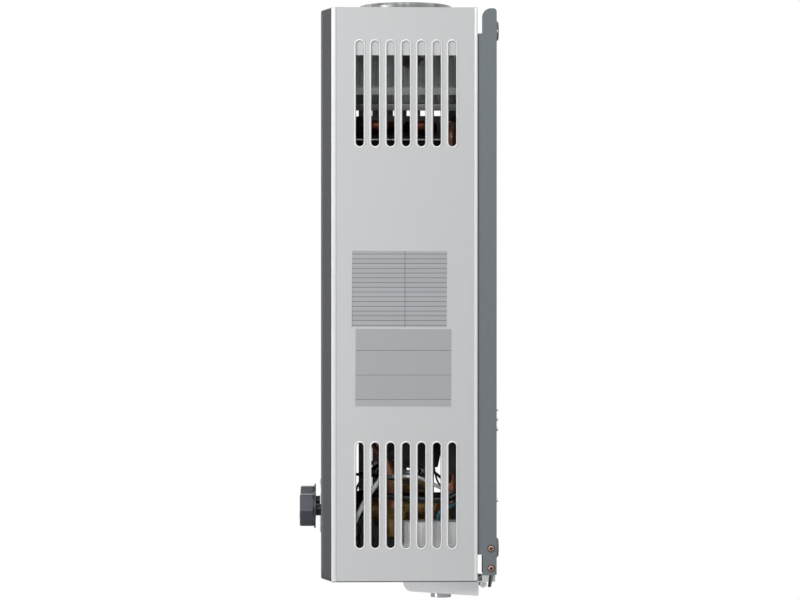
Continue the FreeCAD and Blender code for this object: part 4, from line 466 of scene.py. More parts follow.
# %% Dress the frame
undressed = []
for node_name, node_piece in nodes.items():
    for spot in node_piece.material_slots:
        wanted = spot.material.name.split(".")[0]
        if wanted in finishes:
            spot.material = finishes[wanted]
        else:
            undressed.append((node_name, wanted))
for node_name, finish in (
    ("flue_collar", "collar_reflection_zinc"),
    ("gas_spindle", "black_steel"),
    ("water_spindle", "black_steel"),
):
    nodes[node_name].material_slots[0].material = finishes[finish]
print("left undressed", undressed)

# %% [markdown]
# Modelling by hand is a matter of selecting and then changing what is selected. In code the
# mouse click is missing, so these helpers select instead: one whole piece, or those corners,
# edges or faces of it for which a rule on place or direction holds.


# %% Select a piece or a part of it
def alone():
    """Nothing selected, and no object in edit mode."""
    if bpy.context.object and bpy.context.object.mode != "OBJECT":
        bpy.ops.object.mode_set(mode="OBJECT")
    bpy.ops.object.select_all(action="DESELECT")


def active(piece):
    alone()
    piece.select_set(True)
    bpy.context.view_layer.objects.active = piece


def edit(piece):
    active(piece)
    bpy.ops.object.mode_set(mode="EDIT")
    bpy.ops.mesh.select_mode(type="VERT")
    bpy.ops.mesh.select_all(action="DESELECT")
    return bmesh.from_edit_mesh(piece.data)


def pick(piece, kind, wanted):
    """Selects the verts, edges or faces of a piece in edit mode for which a rule holds."""
    bpy.ops.mesh.select_all(action="DESELECT")
    modes = {"verts": "VERT", "edges": "EDGE", "faces": "FACE"}
    bpy.ops.mesh.select_mode(type=modes[kind])
    cage = bmesh.from_edit_mesh(piece.data)
    for part in getattr(cage, kind):
        part.select = bool(wanted(part))
    cage.select_flush(True)
    bmesh.update_edit_mesh(piece.data)


print("selecting ready")

# %% [markdown]
# Every new piece ends the same way: a plain name, its place written into its mesh, outward
# faces, smooth shading up to an angle, a finish, and the body that it moves with. What repeats
# is modelled once and copied, and then joined, as one pressing or one set of screws.


# %% Settle, join and copy pieces
def settle(piece, name, finish, body="heater", crease=35):
    active(piece)
    bpy.ops.object.transform_apply(location=True, rotation=True, scale=True)
    bpy.ops.object.mode_set(mode="EDIT")
    bpy.ops.mesh.select_all(action="SELECT")
    bpy.ops.mesh.normals_make_consistent(inside=False)
    bpy.ops.object.mode_set(mode="OBJECT")
    bpy.ops.object.shade_smooth_by_angle(angle=math.radians(crease))
    piece.name = name
    piece.data.name = name
    piece.data.materials.clear()
    piece.data.materials.append(finishes[finish])
    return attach(piece, body)


def joined(pieces):
    """Several pieces of one finish made one object, as one pressing or one set of copies."""
    alone()
    for piece in pieces:
        piece.select_set(True)
    bpy.context.view_layer.objects.active = pieces[0]
    bpy.ops.object.join()
    return bpy.context.object


def copied(piece, shift=(0, 0, 0)):
    """A copy with its own mesh, moved by a shift in metres."""
    twin = piece.copy()
    twin.data = piece.data.copy()
    twin.location = piece.location + Vector(shift)
    bpy.context.scene.collection.objects.link(twin)
    return twin


print("piece helpers ready")

# %% [markdown]
# Each vent slot is pierced and its edge pressed outwards, which leaves a raised rim round it. The rim
# takes the paler paint, a painted highlight, and a thin dark ring inside it is painted shade at the cut
# edge. A torus with its upper half pulled up is such a ring with two straight sides. It is made once for a
# row, and copied to the row's other slots.

# %% Rims of the vent slots
SIDE = 170
SLOT_WIDTH = 8.4
SLOT_PITCH = 15.44
SLOTS_IN_ROW = 7
FIRST_SLOT = -141.7
SLOT_ENDS = ((-120.1, -14.1), (-522.0, -416.0))
RIM_THICK = 0.8
RIM_PROUD = 0.65


def slot_ring(out, low, high, radius, thick, proud):
    """A rounded ring that follows the edge of one slot, lying in the side of the casing."""
    alone()
    bpy.ops.mesh.primitive_torus_add(
        major_radius=radius * MM,
        minor_radius=thick * MM,
        major_segments=28,
        minor_segments=8,
        rotation=(0, math.pi / 2, 0),
        location=mm(0, FIRST_SLOT, low + SLOT_WIDTH / 2),
    )
    ring = bpy.context.object
    bpy.ops.object.transform_apply(location=False, rotation=True, scale=False)
    edit(ring)
    pick(ring, "verts", lambda v: v.co.z > 0)
    bpy.ops.transform.translate(value=(0, 0, (high - low - SLOT_WIDTH) * MM))
    bpy.ops.mesh.select_all(action="SELECT")
    bpy.ops.transform.resize(value=(proud / thick, 1, 1), center_override=(0, 0, 0))
    bpy.ops.object.mode_set(mode="OBJECT")
    ring.location.x = out * MM
    return [ring] + [copied(ring, mm(0, SLOT_PITCH * step, 0)) for step in range(1, SLOTS_IN_ROW)]


for side, name in ((1, "right"), (-1, "left")):
    rims = []
    edge_shades = []
    for low, high in SLOT_ENDS:
        # painted highlight on the rims, and painted shade on the thin inner rings
        rims += slot_ring(side * SIDE, low, high, SLOT_WIDTH / 2 + RIM_THICK * 0.7, RIM_THICK, RIM_PROUD)
        edge_shades += slot_ring(side * (SIDE - 0.35), low, high, SLOT_WIDTH / 2 - 0.05, 0.42, 0.3)
    settle(joined(rims), f"vent_rims_{name}", "highlight_and_marking_paint")
    settle(joined(edge_shades), f"vent_edge_shades_{name}", "shade_grey_paint")
print("rims", len(SLOT_ENDS) * 2 * SLOTS_IN_ROW)

# %% [markdown]
# Two foil plates sit on the side between the vents. The upper one is a ruled table, drawn by a
# brick pattern whose mortar is the ruling, and the lower has a few rules only. Each is a thin
# plate with rounded corners, turned a third of a degree, as if stuck on by hand. The lines could
# be cut into the mesh, but a pattern costs no faces and keeps them all equally thin.


# %% Foil plates
def foil(name, row, first_line, width, line):
    tree, shader = blank_finish(name, 0.38, 0.35)
    grid = tree.nodes.new("ShaderNodeTexBrick")
    grid.offset = 0
    grid.squash = 1
    grid.inputs["Color1"].default_value = linear(168, 170, 174)
    grid.inputs["Color2"].default_value = linear(172, 174, 178)
    grid.inputs["Mortar"].default_value = linear(98, 100, 104)
    grid.inputs["Scale"].default_value = 1
    grid.inputs["Mortar Size"].default_value = line * MM
    grid.inputs["Brick Width"].default_value = width * MM
    grid.inputs["Row Height"].default_value = row * MM
    split = tree.nodes.new("ShaderNodeSeparateXYZ")
    lay = tree.nodes.new("ShaderNodeCombineXYZ")
    tree.links.new(placed(tree, centre=mm(0, *first_line)), split.inputs[0])
    tree.links.new(split.outputs["Y"], lay.inputs["X"])
    tree.links.new(split.outputs["Z"], lay.inputs["Y"])
    tree.links.new(lay.outputs[0], grid.inputs["Vector"])
    tree.links.new(grid.outputs["Color"], shader.inputs["Base Color"])
    raised(tree, shader, noise(tree, placed(tree), 260, detail=2), 0.01)


foil("table_foil", 4.75, (-96.5, -517.4), 53, 0.28)
foil("plain_foil", 24.5, (-149.5, -348.7), 400, 0.22)
FOIL_THICK = 0.08
FOIL_CORNER = 2.2


def label(name, finish, front, rear, low, high):
    alone()
    bpy.ops.mesh.primitive_cube_add(size=1, location=mm(SIDE + 0.02, (front + rear) / 2, (low + high) / 2))
    plate = bpy.context.object
    plate.scale = mm(FOIL_THICK, rear - front, high - low)
    bpy.ops.object.transform_apply(location=False, rotation=False, scale=True)
    edit(plate)
    pick(plate, "edges", lambda e: abs(e.verts[0].co.x - e.verts[1].co.x) > 0.0001)
    bpy.ops.mesh.bevel(offset=FOIL_CORNER * MM, segments=5)
    bpy.ops.object.mode_set(mode="OBJECT")
    plate.rotation_euler.x = math.radians(-0.3)
    settle(plate, name, finish)


label("label_upper", "table_foil", -149.5, -54.5, level(255.4), level(331.4))
label("label_lower", "plain_foil", -146.1, -50.0, level(175.8), level(253.4))
print("foil plates made")

# %% [markdown]
# The water pipes are bent from one length of copper each. The frame's pipes have flat sides,
# so smooth ones take their place on the same line: a circle is extruded along each straight
# run and spun round each bend, just as a bending machine does it.


# %% Bent copper pipes
def bent_pipe(route, radius, bend, sides=20, steps=8):
    """A pipe along a route of x, y and height above the casing's foot, in millimetres."""
    points = [mm(x, y, level(height)) for x, y, height in route]
    headings = [(b - a).normalized() for a, b in zip(points, points[1:])]
    alone()
    bpy.ops.mesh.primitive_circle_add(vertices=sides, radius=radius * MM, location=points[0])
    pipe = bpy.context.object
    pipe.rotation_euler = headings[0].to_track_quat("Z", "Y").to_euler()
    bpy.ops.object.transform_apply(location=True, rotation=True, scale=True)
    bpy.ops.object.mode_set(mode="EDIT")
    bpy.ops.mesh.select_all(action="SELECT")
    here = points[0]
    for index, heading in enumerate(headings):
        corner = points[index + 1]
        cut_back = 0.0
        if index + 1 < len(headings):
            turn = heading.angle(headings[index + 1])
            share = 0.9 if index in (0, len(headings) - 2) else 0.5
            room = min((corner - here).length * 0.9, (points[index + 2] - corner).length * share)
            cut_back = min(bend * MM * math.tan(turn / 2), room)
        run = corner - heading * cut_back - here
        bpy.ops.mesh.extrude_region_move(TRANSFORM_OT_translate={"value": run})
        here = here + run
        if cut_back:
            across = (headings[index + 1] - heading * heading.dot(headings[index + 1])).normalized()
            reach = cut_back / math.tan(turn / 2)
            axis = heading.cross(headings[index + 1]).normalized()
            bpy.ops.mesh.spin(steps=steps, angle=-turn, center=here + across * reach, axis=axis)
            here = corner + headings[index + 1] * cut_back
    bpy.ops.mesh.select_all(action="SELECT")
    bpy.ops.mesh.remove_doubles(threshold=0.00002)
    bpy.ops.mesh.select_mode(type="VERT")
    bpy.ops.mesh.select_all(action="DESELECT")
    bpy.ops.mesh.select_non_manifold()
    bpy.ops.mesh.fill_holes(sides=sides)
    bpy.ops.object.mode_set(mode="OBJECT")
    return pipe


FEED = (
    (98, -106, 58), (98, -106, 78), (119.3, -110, 102), (119.3, -123, 136), (119.3, -123, 226),
    (119.3, -28.1, 252), (-119.3, -28.1, 270), (-119.3, -152.7, 284), (119.3, -152.7, 304),
    (119.3, -28.1, 318), (-119.3, -28.1, 340), (-119.3, -128.4, 352), (-132.3, -132.4, 400),
    (-132.3, -132.4, 458), (-118, -132.4, 458),
)
HOT = (
    (118, -48.4, 458), (135, -48.4, 458), (135, -47.4, 248), (118.3, -46, 206), (118.3, -46, 86),
    (94, -57, 66), (94, -57, 44),
)
PIPE_RADIUS = 7.0
PIPE_BEND = 22
WATER_PIPES = (("feed_pipe_smooth", "feed_pipe", FEED), ("hot_pipe_smooth", "outlet_pipe", HOT))
for name, node_name, route in WATER_PIPES:
    pipe = bent_pipe(route, PIPE_RADIUS, PIPE_BEND)
    settle(pipe, name, "copper", crease=60)
    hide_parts(node_name)
    print(name, len(pipe.data.polygons), "faces")

# %% [markdown]
# The connection stubs are cut with a pipe thread. One tooth outline is swept round and down by
# the Screw modifier, which gives a true helix at the real pitch of 14 turns to the inch.

# %% Pipe threads
STUB_RADIUS = 10.4775
THREAD_PITCH = 1.814
TOOTH_DEPTH = 1.1
TURNS = 9
TOOTH = (
    (STUB_RADIUS - TOOTH_DEPTH, 0),
    (STUB_RADIUS + 0.05, THREAD_PITCH * 0.5),
    (STUB_RADIUS - TOOTH_DEPTH, THREAD_PITCH),
)
STUBS = (("gas", "gas_inlet"), ("cold", "cold_inlet"), ("hot", "hot_outlet"))
for name, node_name in STUBS:
    low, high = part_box(node_name)
    middle = (low + high) / 2
    alone()
    bpy.ops.mesh.primitive_plane_add(size=1)
    tooth = bpy.context.object
    edit(tooth)
    bpy.ops.mesh.select_all(action="SELECT")
    bpy.ops.mesh.delete(type="ONLY_FACE")
    cage = bmesh.from_edit_mesh(tooth.data)
    bmesh.ops.delete(cage, geom=cage.edges[:], context="EDGES")
    corners = [cage.verts.new(mm(radius, 0, height)) for radius, height in TOOTH]
    for first, second in zip(corners, corners[1:]):
        cage.edges.new((first, second))
    bmesh.update_edit_mesh(tooth.data)
    bpy.ops.object.mode_set(mode="OBJECT")
    screw = tooth.modifiers.new("thread", "SCREW")
    screw.axis = "Z"
    screw.steps = 28
    screw.render_steps = 28
    screw.screw_offset = THREAD_PITCH * MM
    screw.iterations = TURNS
    screw.use_merge_vertices = True
    bpy.ops.object.modifier_apply(modifier="thread")
    tooth.location = (middle.x, middle.y, low.z + 0.6 * MM)
    settle(tooth, f"thread_{name}", "stub_metal", crease=25)
print("threads", len(STUBS))

# %% [markdown]
# Sheet edges are never just cut: the front edge of the side is folded into a flat rounded hem, and the
# hems take the paler paint, a painted highlight. Dark bars are painted shadow lines where the side meets
# the foot and the wall frame. Each is a slim bar with its long edges bevelled round.


# %% Hems and seams of the casing
def slim_bar(low, high, round_off, segments=4):
    """A bar between two corners in millimetres, its long edges bevelled."""
    low = mm(*low)
    high = mm(*high)
    alone()
    bpy.ops.mesh.primitive_cube_add(size=1, location=(low + high) / 2)
    bar = bpy.context.object
    bar.scale = high - low
    bpy.ops.object.transform_apply(location=False, rotation=False, scale=True)
    longest = max(high - low)
    edit(bar)
    pick(bar, "edges", lambda e: (e.verts[0].co - e.verts[1].co).length > longest * 0.6)
    bpy.ops.mesh.bevel(offset=round_off * MM, segments=segments, profile=0.5)
    bpy.ops.object.mode_set(mode="OBJECT")
    return bar


CASING_TOP = 19.3
FRONT_FOLD = -170.1
REAR_EDGE = -23.8
FRAME_SIDE = 169.0


def side_bar(side, inner, outer, front, rear, low, high, round_off, segments=4):
    """A slim bar on the right side, or mirrored to the left one."""
    near, far = sorted((side * inner, side * outer))
    return slim_bar((near, front, low), (far, rear, high), round_off, segments)


hems = []
seam_shades = []
shades = []
hem_top = CASING_TOP - 0.5
for side in (1, -1):
    inner = FRAME_SIDE - 0.6
    outer = FRAME_SIDE + 0.3
    # painted highlight: the hems are in the pale paint
    hems.append(side_bar(side, 168.6, 170.6, FRONT_FOLD, FRONT_FOLD + 4.8, FOOT + 0.5, hem_top, 0.95))
    hems.append(side_bar(side, 169.2, 170.3, REAR_EDGE - 3, REAR_EDGE, FOOT + 1.2, hem_top, 0.5))
    # painted shadow: dark lines along the foot and the wall frame
    seam_shades.append(side_bar(side, 169.2, 170.25, -169.8, -24.2, FOOT, FOOT + 1.1, 0.2, 2))
    shades.append(side_bar(side, inner, outer, -23.9, -22.8, level(28), level(548), 0.15, 2))
    shades.append(side_bar(side, inner, outer, -19.6, -18.7, level(10), level(27), 0.15, 2))
settle(joined(hems), "casing_hems", "highlight_and_marking_paint")
settle(joined(seam_shades), "casing_seam_shades", "shade_grey_paint")
settle(joined(shades), "frame_seam_shades", "shadow_paint")
print("hems and seams", len(hems), len(seam_shades) + len(shades))

# %% [markdown]
# The draught hood ends in a folded lip. Its zinc is near white, a painted highlight that keeps it brighter
# than the sheet above it in the shade inside the casing. A plane with rounded corners is drawn up into a
# band, its two flat ends are taken away one at a time, and Solidify and Bevel give the band its thickness
# and its soft edges.

# %% Lip of the draught hood
CORE_Y = -90.4
LIP_HALF_X = 116.5
LIP_HALF_Y = 61.0
LIP_LOW = level(491.6)
LIP_HIGH = level(499.2)
LIP_THICK = 1.5
LIP_CORNER = 3
alone()
bpy.ops.mesh.primitive_plane_add(size=2, location=mm(0, CORE_Y, LIP_LOW))
lip = bpy.context.object
lip.scale = mm(LIP_HALF_X, LIP_HALF_Y, 1000)
bpy.ops.object.transform_apply(location=False, rotation=False, scale=True)
edit(lip)
bpy.ops.mesh.select_all(action="SELECT")
bpy.ops.mesh.bevel(offset=LIP_CORNER * MM, segments=4, affect="VERTICES")
bpy.ops.mesh.select_all(action="SELECT")
bpy.ops.mesh.extrude_region_move(TRANSFORM_OT_translate={"value": mm(0, 0, LIP_HIGH - LIP_LOW)})
for height in (0, (LIP_HIGH - LIP_LOW) * MM):
    pick(lip, "faces", lambda f: all(abs(v.co.z - height) < 1e-5 for v in f.verts))
    bpy.ops.mesh.delete(type="FACE")
bpy.ops.object.mode_set(mode="OBJECT")
layer = lip.modifiers.new("layer", "SOLIDIFY")
layer.thickness = LIP_THICK * MM
layer.offset = 0
bpy.ops.object.modifier_apply(modifier="layer")
edge = lip.modifiers.new("edge", "BEVEL")
edge.width = LIP_THICK * 0.3 * MM
edge.segments = 2
bpy.ops.object.modifier_apply(modifier="edge")
settle(lip, "hood_lip", "lip_highlight_zinc")
print("hood lip faces", len(lip.data.polygons))

# %% [markdown]
# The casing hides most of the heat exchanger, but it is the heart of the heater. Five copper
# tubes cross the fins and turn back in half circles at their ends, so one bent pipe that runs to
# and fro is all five of them.

# %% Tubes of the heat exchanger
TUBE_RADIUS = 7.5
TUBE_BEND = 10
TUBE_PITCH = 21
TUBE_HEIGHT = 458
TUBE_END = 118
BEND_END = 128.4
TUBES = 5
ROWS = [CORE_Y + TUBE_PITCH * (row - TUBES // 2) for row in range(TUBES)]
snake = [(-TUBE_END, ROWS[0], TUBE_HEIGHT)]
for row in range(TUBES - 1):
    end = BEND_END if row % 2 == 0 else -BEND_END
    snake += [(end, ROWS[row], TUBE_HEIGHT), (end, ROWS[row + 1], TUBE_HEIGHT)]
snake.append((TUBE_END, ROWS[-1], TUBE_HEIGHT))
tubes = bent_pipe(snake, TUBE_RADIUS, TUBE_BEND, steps=10)
settle(tubes, "exchanger_tubes_smooth", "dark_copper", crease=60)
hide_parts("exchanger_tubes")
print("exchanger rows", len(ROWS))

# %% [markdown]
# A thin silver tube, bent in the same way, joins the water valve to the hot connection, so that
# the diaphragm feels the water's pressure on both its sides.

# %% Pressure tube
PRESSURE_RADIUS = 1.9
PRESSURE_BEND = 18
PRESSURE = (
    (88, -118, 92), (118, -118, 101), (149, -106, 105), (152, -82, 104), (151, -58, 92),
    (138, -46, 85), (120, -45, 82),
)
tube = bent_pipe(PRESSURE, PRESSURE_RADIUS, PRESSURE_BEND, sides=12)
settle(tube, "pressure_tube", "tube_alloy", crease=60)
print("pressure tube", len(tube.data.polygons), "faces")

# %% [markdown]
# Seven leads run through the casing: one feeds the gas solenoid, one comes from the battery box,
# and a sleeved harness serves the display. Thin ones serve the switch, the sensor and the
# overheat thermostat, and a pale one earths the gas valve. A route is a short list of points
# from terminal to terminal: x, y and the height above the foot of the casing.

# %% Routes of the leads
LEADS = (
    ("solenoid_cord", "solenoid_lead", "lead_black", 3.6, 374, (
        (132, -36, 106), (132, -36, 94), (131, -44, 80), (131, -60, 80), (131, -80, 94), (132, -112, 102),
        (120, -133, 103.5), (70, -126, 104), (10, -122, 104), (-60, -122, 104.5), (-104, -112, 100),
        (-112, -94, 94), (-112, -94, 79),
    )),
    ("battery_cord", "battery_lead", "lead_teal", 4.0, 67, (
        (129.1, -61.9, 58), (129.1, -61.9, 67), (138, -48, 74), (144, -30, 86), (144, -28, 96),
        (144, -28, 106),
    )),
    ("display_cord", "display_harness", "lead_black", 7.0, 251, (
        (2, -148.4, 75), (2, -134, 75), (32, -129, 84), (80, -134, 92), (122, -134, 90), (138, -118, 84),
        (146, -84, 81), (145, -52, 80), (144, -37, 90), (144, -37, 106),
    )),
    ("switch_cord", None, "lead_black", 3.0, 330, (
        (-13.6, -85, 90), (-13.6, -76, 92), (10, -74, 108), (60, -104, 120), (100, -146, 98),
        (118, -150, 116), (126, -146, 146), (136, -138, 152), (142, -120, 126), (143, -94, 113),
        (142, -70, 112), (140, -52, 96), (139, -50, 100), (139, -50, 106),
    )),
    ("earth_cord", None, "lead_grey", 5.0, 365, (
        (-18, -118, 70), (2, -128, 60), (50, -146, 50), (110, -156, 40), (146, -156, 40), (158, -148, 56),
        (159, -139, 76), (159, -129, 92), (159, -118.5, 104), (159, -118.5, 128), (159, -117, 152),
        (158, -74, 160), (157, -52, 162), (151.6, -46, 162),
    )),
    ("sensor_cord", None, "lead_black", 2.4, 327, (
        (119, -55, 154.5), (119, -68, 152), (138, -92, 138), (150, -124, 126), (150, -136, 108),
        (150, -149, 86), (142, -140, 46), (128, -146, 16), (80, -148, 12), (34, -146, 26), (20, -136, 42),
        (20, -148.5, 52),
    )),
    ("overheat_cord", None, "lead_black", 2.0, 318, (
        (121, -90.4, 388), (121, -90.4, 374), (142, -82, 340), (154, -68, 290), (155, -67, 230),
        (153, -67, 160), (150, -68, 118), (144, -62, 94), (141, -54, 96), (141, -54, 106),
    )),
)
print("routes", len(LEADS))

# %% [markdown]
# Leads are limp and never have corners, so each is one NURBS line with a round section, which passes its
# points in soft bends. A row of cylinders would break at each of them. Each lead also says its real length
# and its thickness.


# %% Leads along their routes
def lead_line(name, points, diameter):
    data = bpy.data.curves.new(name, "CURVE")
    data.dimensions = "3D"
    data.bevel_depth = diameter / 2 * MM
    data.bevel_resolution = 3
    data.resolution_u = 10
    data.use_fill_caps = True
    line = data.splines.new("NURBS")
    line.points.add(len(points) - 1)
    for spot, (x, y, height) in zip(line.points, points):
        spot.co = (*mm(x, y, level(height)), 1)
    line.order_u = 3
    line.use_endpoint_u = True
    piece = bpy.data.objects.new(name, data)
    bpy.context.scene.collection.objects.link(piece)
    return piece


def lead(name, node_name, finish, diameter, length, points):
    piece = lead_line(name, points, diameter)
    piece.data.materials.append(finishes[finish])
    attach(piece, "heater")
    if node_name:
        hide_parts(node_name)


for row in LEADS:
    lead(*row)
print("leads", len(LEADS))

# %% [markdown]
# Two spark electrodes and the flame sensor stand in a row before the burner. Their leads leave
# the controller one above the other and bend alike, so one route with a small step serves all.

# %% Electrode leads
ELECTRODES = ((-12, 235), (12, 215), (34, 197))
for number, (x, length) in enumerate(ELECTRODES):
    rise = 163 + 7 * number
    points = (
        (133 + 5.5 * number, -62, rise),
        (134 + 5 * number, -100, rise + 2),
        (132 + 4 * number, -140, rise + 6),
        (111.8 + 4 * number, -161, rise + 12),
        (x + 26, -163, 198 + 2 * number),
        (x, -163, 200.5),
        (x, -154.4, 200.5),
    )
    lead(f"spark_cord_{number + 1}", "electrode_leads", "lead_black", 3.6, length, points)
print("electrode leads", len(ELECTRODES))

# %% [markdown]
# The wall frame is held by small pan-head screws. A short cylinder gets its outer edge bevelled
# into a low dome, and two crossed bars are cut out of it with a Boolean, one after the other,
# for the screwdriver. A copy of each bar is kept for later.

# %% Head of a pan-head screw
HEAD_RADIUS = 3.0
HEAD_HEIGHT = 1.9
DOME_ROUND = 1.1


def turned(piece, axis, angle, place):
    """Turns a piece about the frame's origin by degrees, then sets it at its place."""
    active(piece)
    bpy.ops.object.transform_apply(location=True, rotation=False, scale=False)
    setattr(piece.rotation_euler, axis, math.radians(angle))
    piece.location = place
    return piece


alone()
bpy.ops.mesh.primitive_cylinder_add(
    vertices=32,
    radius=HEAD_RADIUS * MM,
    depth=HEAD_HEIGHT * MM,
    rotation=(0, math.pi / 2, 0),
    location=mm(HEAD_HEIGHT / 2, 0, 0),
)
head = bpy.context.object
bpy.ops.object.transform_apply(location=True, rotation=True, scale=True)
edit(head)
pick(head, "edges", lambda e: min(v.co.x for v in e.verts) > (HEAD_HEIGHT - 0.1) * MM)
bpy.ops.mesh.bevel(offset=DOME_ROUND * MM, segments=4)
bpy.ops.object.mode_set(mode="OBJECT")
recess_shades = []
for tilt in (25, 115):
    bar = turned(slim_bar((0.6, -2.1, -0.6), (2.6, 2.1, 0.6), 0.1, segments=1), "x", tilt, (0, 0, 0))
    recess_shades.append(copied(bar))
    recess = head.modifiers.new("recess", "BOOLEAN")
    recess.operation = "DIFFERENCE"
    recess.object = bar
    active(head)
    bpy.ops.object.modifier_apply(modifier="recess")
    bpy.data.objects.remove(bar)
print("screw head faces", len(head.data.polygons))

# %% [markdown]
# A recess this small takes too little light to look deep, so thin dark copies of the bars lie at its
# bottom as painted shade, and a dark ring under the head is a painted shadow line where it meets the
# sheet.

# %% Painted shade of a screw: dark inlay and ring
shade = joined(recess_shades)
bpy.ops.object.transform_apply(location=True, rotation=True, scale=True)
edit(shade)
bpy.ops.mesh.select_all(action="SELECT")
bpy.ops.transform.resize(value=(0.25, 0.92, 0.92), center_override=mm(0.6, 0, 0))
alone()
bpy.ops.mesh.primitive_torus_add(
    major_radius=(HEAD_RADIUS + 0.25) * MM,
    minor_radius=0.42 * MM,
    major_segments=32,
    minor_segments=8,
    rotation=(0, math.pi / 2, 0),
    location=mm(0.12, 0, 0),
)
shadow_ring = bpy.context.object
bpy.ops.object.transform_apply(location=True, rotation=True, scale=True)
print("ring faces", len(shadow_ring.data.polygons))

# %% [markdown]
# Two screws sit low on each flange. The three pieces are copied to every place, turned round on
# the left side, and the originals are then taken away.

# %% Screws in their places
SCREW_Y = -10.1
SCREW_HEIGHTS = (13.3, 33.2)
heads = []
shadow_rings = []
shadows = []
for side in (1, -1):
    for height in SCREW_HEIGHTS:
        for source, row in ((head, heads), (shadow_ring, shadow_rings), (shade, shadows)):
            twin = copied(source)
            twin.location = mm(side * FRAME_SIDE, SCREW_Y, level(height))
            twin.rotation_euler.z = 0 if side > 0 else math.pi
            row.append(twin)
for source in (head, shadow_ring, shade):
    bpy.data.objects.remove(source)
heads = settle(joined(heads), "flange_screw_heads", "screw_tinted", crease=30)
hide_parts("flange_screws")
# painted shadow: the dark rings under the heads and the dark inlays in the recesses
settle(joined(shadow_rings + shadows), "flange_screw_shadows", "shadow_paint")
print("screws", len(SCREW_HEIGHTS) * 2)

# %% [markdown]
# The battery lid is a shallow moulded tray. Its side view is drawn on a plane: level on top,
# a large round corner in front and a floor that slopes down to the hinge. Extruding that face
# gives the tray, and an inset pushed down hollows it. Drawn as an outline first, the round front
# and the sloping floor come in one step.

# %% Tray of the battery lid
LID_MIDDLE = 132.1
LID_HALF = 20.5
LID_FRONT = -97.6
LID_REAR = -21.6
LID_TOP = -0.6
FLOOR_FRONT = -10.9
FLOOR_REAR = -16.2
FRONT_ROUND = 8.5
REAR_ROUND = 1.6
TRAY_WALL = 2
TRAY_DEPTH = 7.5


def lid_end(face):
    """Whether a face is one of the tray's two ends."""
    return abs(face.normal.x) > 0.9 and abs(face.calc_center_median().x - LID_MIDDLE * MM) > 0.02


alone()
bpy.ops.mesh.primitive_plane_add(size=1, rotation=(0, math.pi / 2, 0), location=(0, 0, 0))
lid = bpy.context.object
bpy.ops.object.transform_apply(location=False, rotation=True, scale=False)
cage = edit(lid)
for vert in cage.verts:
    rear = vert.co.y > 0
    top = vert.co.z > 0
    y = LID_REAR if rear else LID_FRONT
    height = LID_TOP if top else (FLOOR_REAR if rear else FLOOR_FRONT)
    vert.co = mm(LID_MIDDLE - LID_HALF, y, level(height))
bmesh.update_edit_mesh(lid.data)
pick(lid, "verts", lambda v: v.co.y < -0.05 and v.co.z < level(-5) * MM)
bpy.ops.mesh.bevel(offset=FRONT_ROUND * MM, segments=8, affect="VERTICES")
pick(lid, "verts", lambda v: v.co.y > -0.05 and v.co.z < level(-5) * MM)
bpy.ops.mesh.bevel(offset=REAR_ROUND * MM, segments=3, affect="VERTICES")
bpy.ops.mesh.select_all(action="SELECT")
bpy.ops.mesh.extrude_region_move(TRANSFORM_OT_translate={"value": mm(LID_HALF * 2, 0, 0)})
pick(lid, "faces", lambda f: abs(f.normal.z) > 0.98 and f.calc_center_median().z > level(-2) * MM)
bpy.ops.mesh.inset(thickness=TRAY_WALL * MM)
bpy.ops.mesh.extrude_region_move(TRANSFORM_OT_translate={"value": mm(0, 0, -TRAY_DEPTH)})
pick(lid, "faces", lid_end)
bpy.ops.mesh.region_to_loop()
bpy.ops.mesh.bevel(offset=0.9 * MM, segments=3)
bpy.ops.object.mode_set(mode="OBJECT")
print("tray faces", len(lid.data.polygons))

# %% [markdown]
# At the rear the lid curls round its hinge pin in two hooks. Each is one edge spun round the
# pin's own line, so it is round where the pin turns, and Solidify gives it its thickness. A
# round core closes the hook's ends.

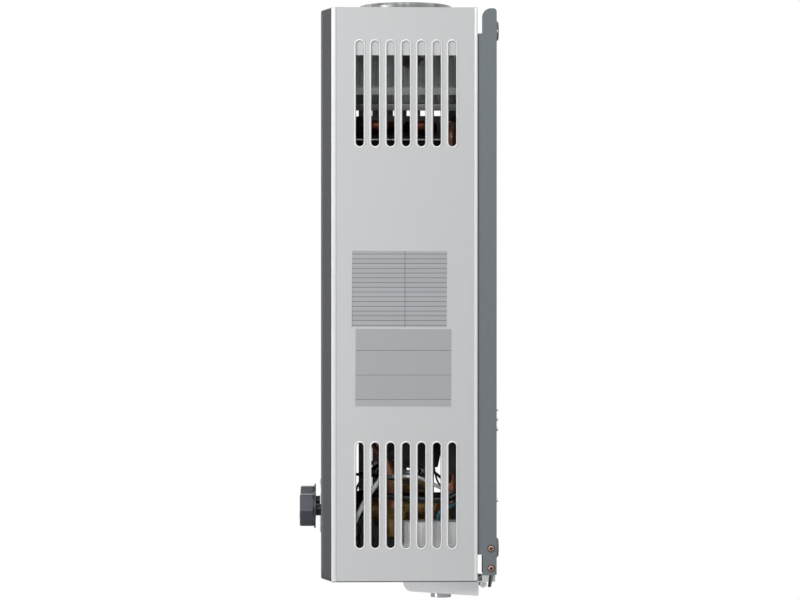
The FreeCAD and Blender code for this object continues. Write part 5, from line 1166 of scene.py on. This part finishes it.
# %% Hooks of the battery lid
PIN_Y = -17.0
PIN_HEIGHT = -4.3
HOOK_WIDTH = 8.3
HOOK_RADIUS = 2.9
HOOK_SWEEP = math.radians(255)
HOOK_THICK = 1.4
hooks = []
for near in (LID_MIDDLE - LID_HALF, LID_MIDDLE + LID_HALF - HOOK_WIDTH):
    alone()
    bpy.ops.mesh.primitive_plane_add(size=1, location=(0, 0, 0))
    hook = bpy.context.object
    cage = edit(hook)
    for vert in cage.verts:
        x = near if vert.co.x < 0 else near + HOOK_WIDTH
        y = PIN_Y if vert.co.y > 0 else LID_REAR - 1.0
        vert.co = mm(x, y, level(PIN_HEIGHT + HOOK_RADIUS))
    bmesh.update_edit_mesh(hook.data)
    pick(hook, "edges", lambda e: min(v.co.y for v in e.verts) > (PIN_Y - 0.1) * MM)
    centre = mm(near, PIN_Y, level(PIN_HEIGHT))
    bpy.ops.mesh.spin(steps=12, angle=-HOOK_SWEEP, center=centre, axis=(-1, 0, 0))
    bpy.ops.mesh.select_all(action="SELECT")
    bpy.ops.mesh.remove_doubles(threshold=0.00001)
    bpy.ops.mesh.normals_make_consistent(inside=False)
    bpy.ops.object.mode_set(mode="OBJECT")
    skin = hook.modifiers.new("skin", "SOLIDIFY")
    skin.thickness = HOOK_THICK * MM
    skin.offset = 0
    bpy.ops.object.modifier_apply(modifier="skin")
    hooks.append(hook)
    alone()
    bpy.ops.mesh.primitive_cylinder_add(
        vertices=24,
        radius=3.1 * MM,
        depth=HOOK_WIDTH * MM,
        rotation=(0, math.pi / 2, 0),
        location=centre + mm(HOOK_WIDTH / 2, 0, 0),
    )
    core = bpy.context.object
    bpy.ops.object.transform_apply(location=False, rotation=True, scale=False)
    edit(core)
    pick(core, "faces", lambda f: abs(f.normal.x) > 0.9)
    bpy.ops.mesh.inset(thickness=1.3 * MM)
    bpy.ops.transform.resize(value=(0.94, 1, 1))
    bpy.ops.object.mode_set(mode="OBJECT")
    hooks.append(core)
lid = joined([lid] + hooks)
settle(lid, "battery_lid_moulded", "lid_plastic", body="battery_door", crease=30)
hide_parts("battery_lid")
print("lid", len(lid.data.polygons), "faces")

# %% [markdown]
# From the front the knobs need something to point with. A raised pointer is set into each
# knob's face and turns with it, and plain ticks round it on the panel mark its travel. They are
# the same slim bar, turned about the knob's axis: the ticks by even steps, the end ones longer.

# %% Pointers and dial ticks
KNOB_X = 55
KNOB_Z = -493
KNOB_FACE = -202.6
PANEL_FACE = -180.5
TICK_START = 20.8
SHORT_TICK = 22.8
LONG_TICK = 24.0
KNOBS = (("gas_control", -KNOB_X, 0, 120, 5), ("water_control", KNOB_X, -135, 270, 10))
ticks = []
for body, knob_x, start, travel, marks in KNOBS:
    pointer = slim_bar((-0.8, -0.5, 3.5), (0.8, 0.3, 13.0), 0.35, segments=3)
    turned(pointer, "y", start, mm(knob_x, KNOB_FACE, KNOB_Z))
    settle(pointer, f"pointer_{body}", "highlight_and_marking_paint", body=body)
    for mark in range(marks):
        outer_end = LONG_TICK if mark in (0, marks - 1) else SHORT_TICK
        tick = slim_bar((-0.4, -0.12, TICK_START), (0.4, 0.12, outer_end), 0.1, segments=1)
        angle = start + travel * mark / (marks - 1)
        ticks.append(turned(tick, "y", angle, mm(knob_x, PANEL_FACE, KNOB_Z)))
settle(joined(ticks), "dial_ticks", "highlight_and_marking_paint")
print("dial ticks", len(ticks))

# %% [markdown]
# Beside each tongue below the wall frame a dark line shows, a painted shadow on its front. Two slim bars
# do it, tipped like the tongues they lie on.

# %% Painted shadow on the tongues
shadow_strips = []
for side in (1, -1):
    shadow_strip = slim_bar((-0.45, -1.1, -5.8), (0.45, 1.1, 5.8), 0.2, segments=2)
    shadow_strips.append(turned(shadow_strip, "x", -8, mm(side * (FRAME_SIDE - 0.1), -11.6, -555.3)))
settle(joined(shadow_strips), "tongue_shadow_strips", "shadow_paint")
print("shadow_strips", len(shadow_strips))
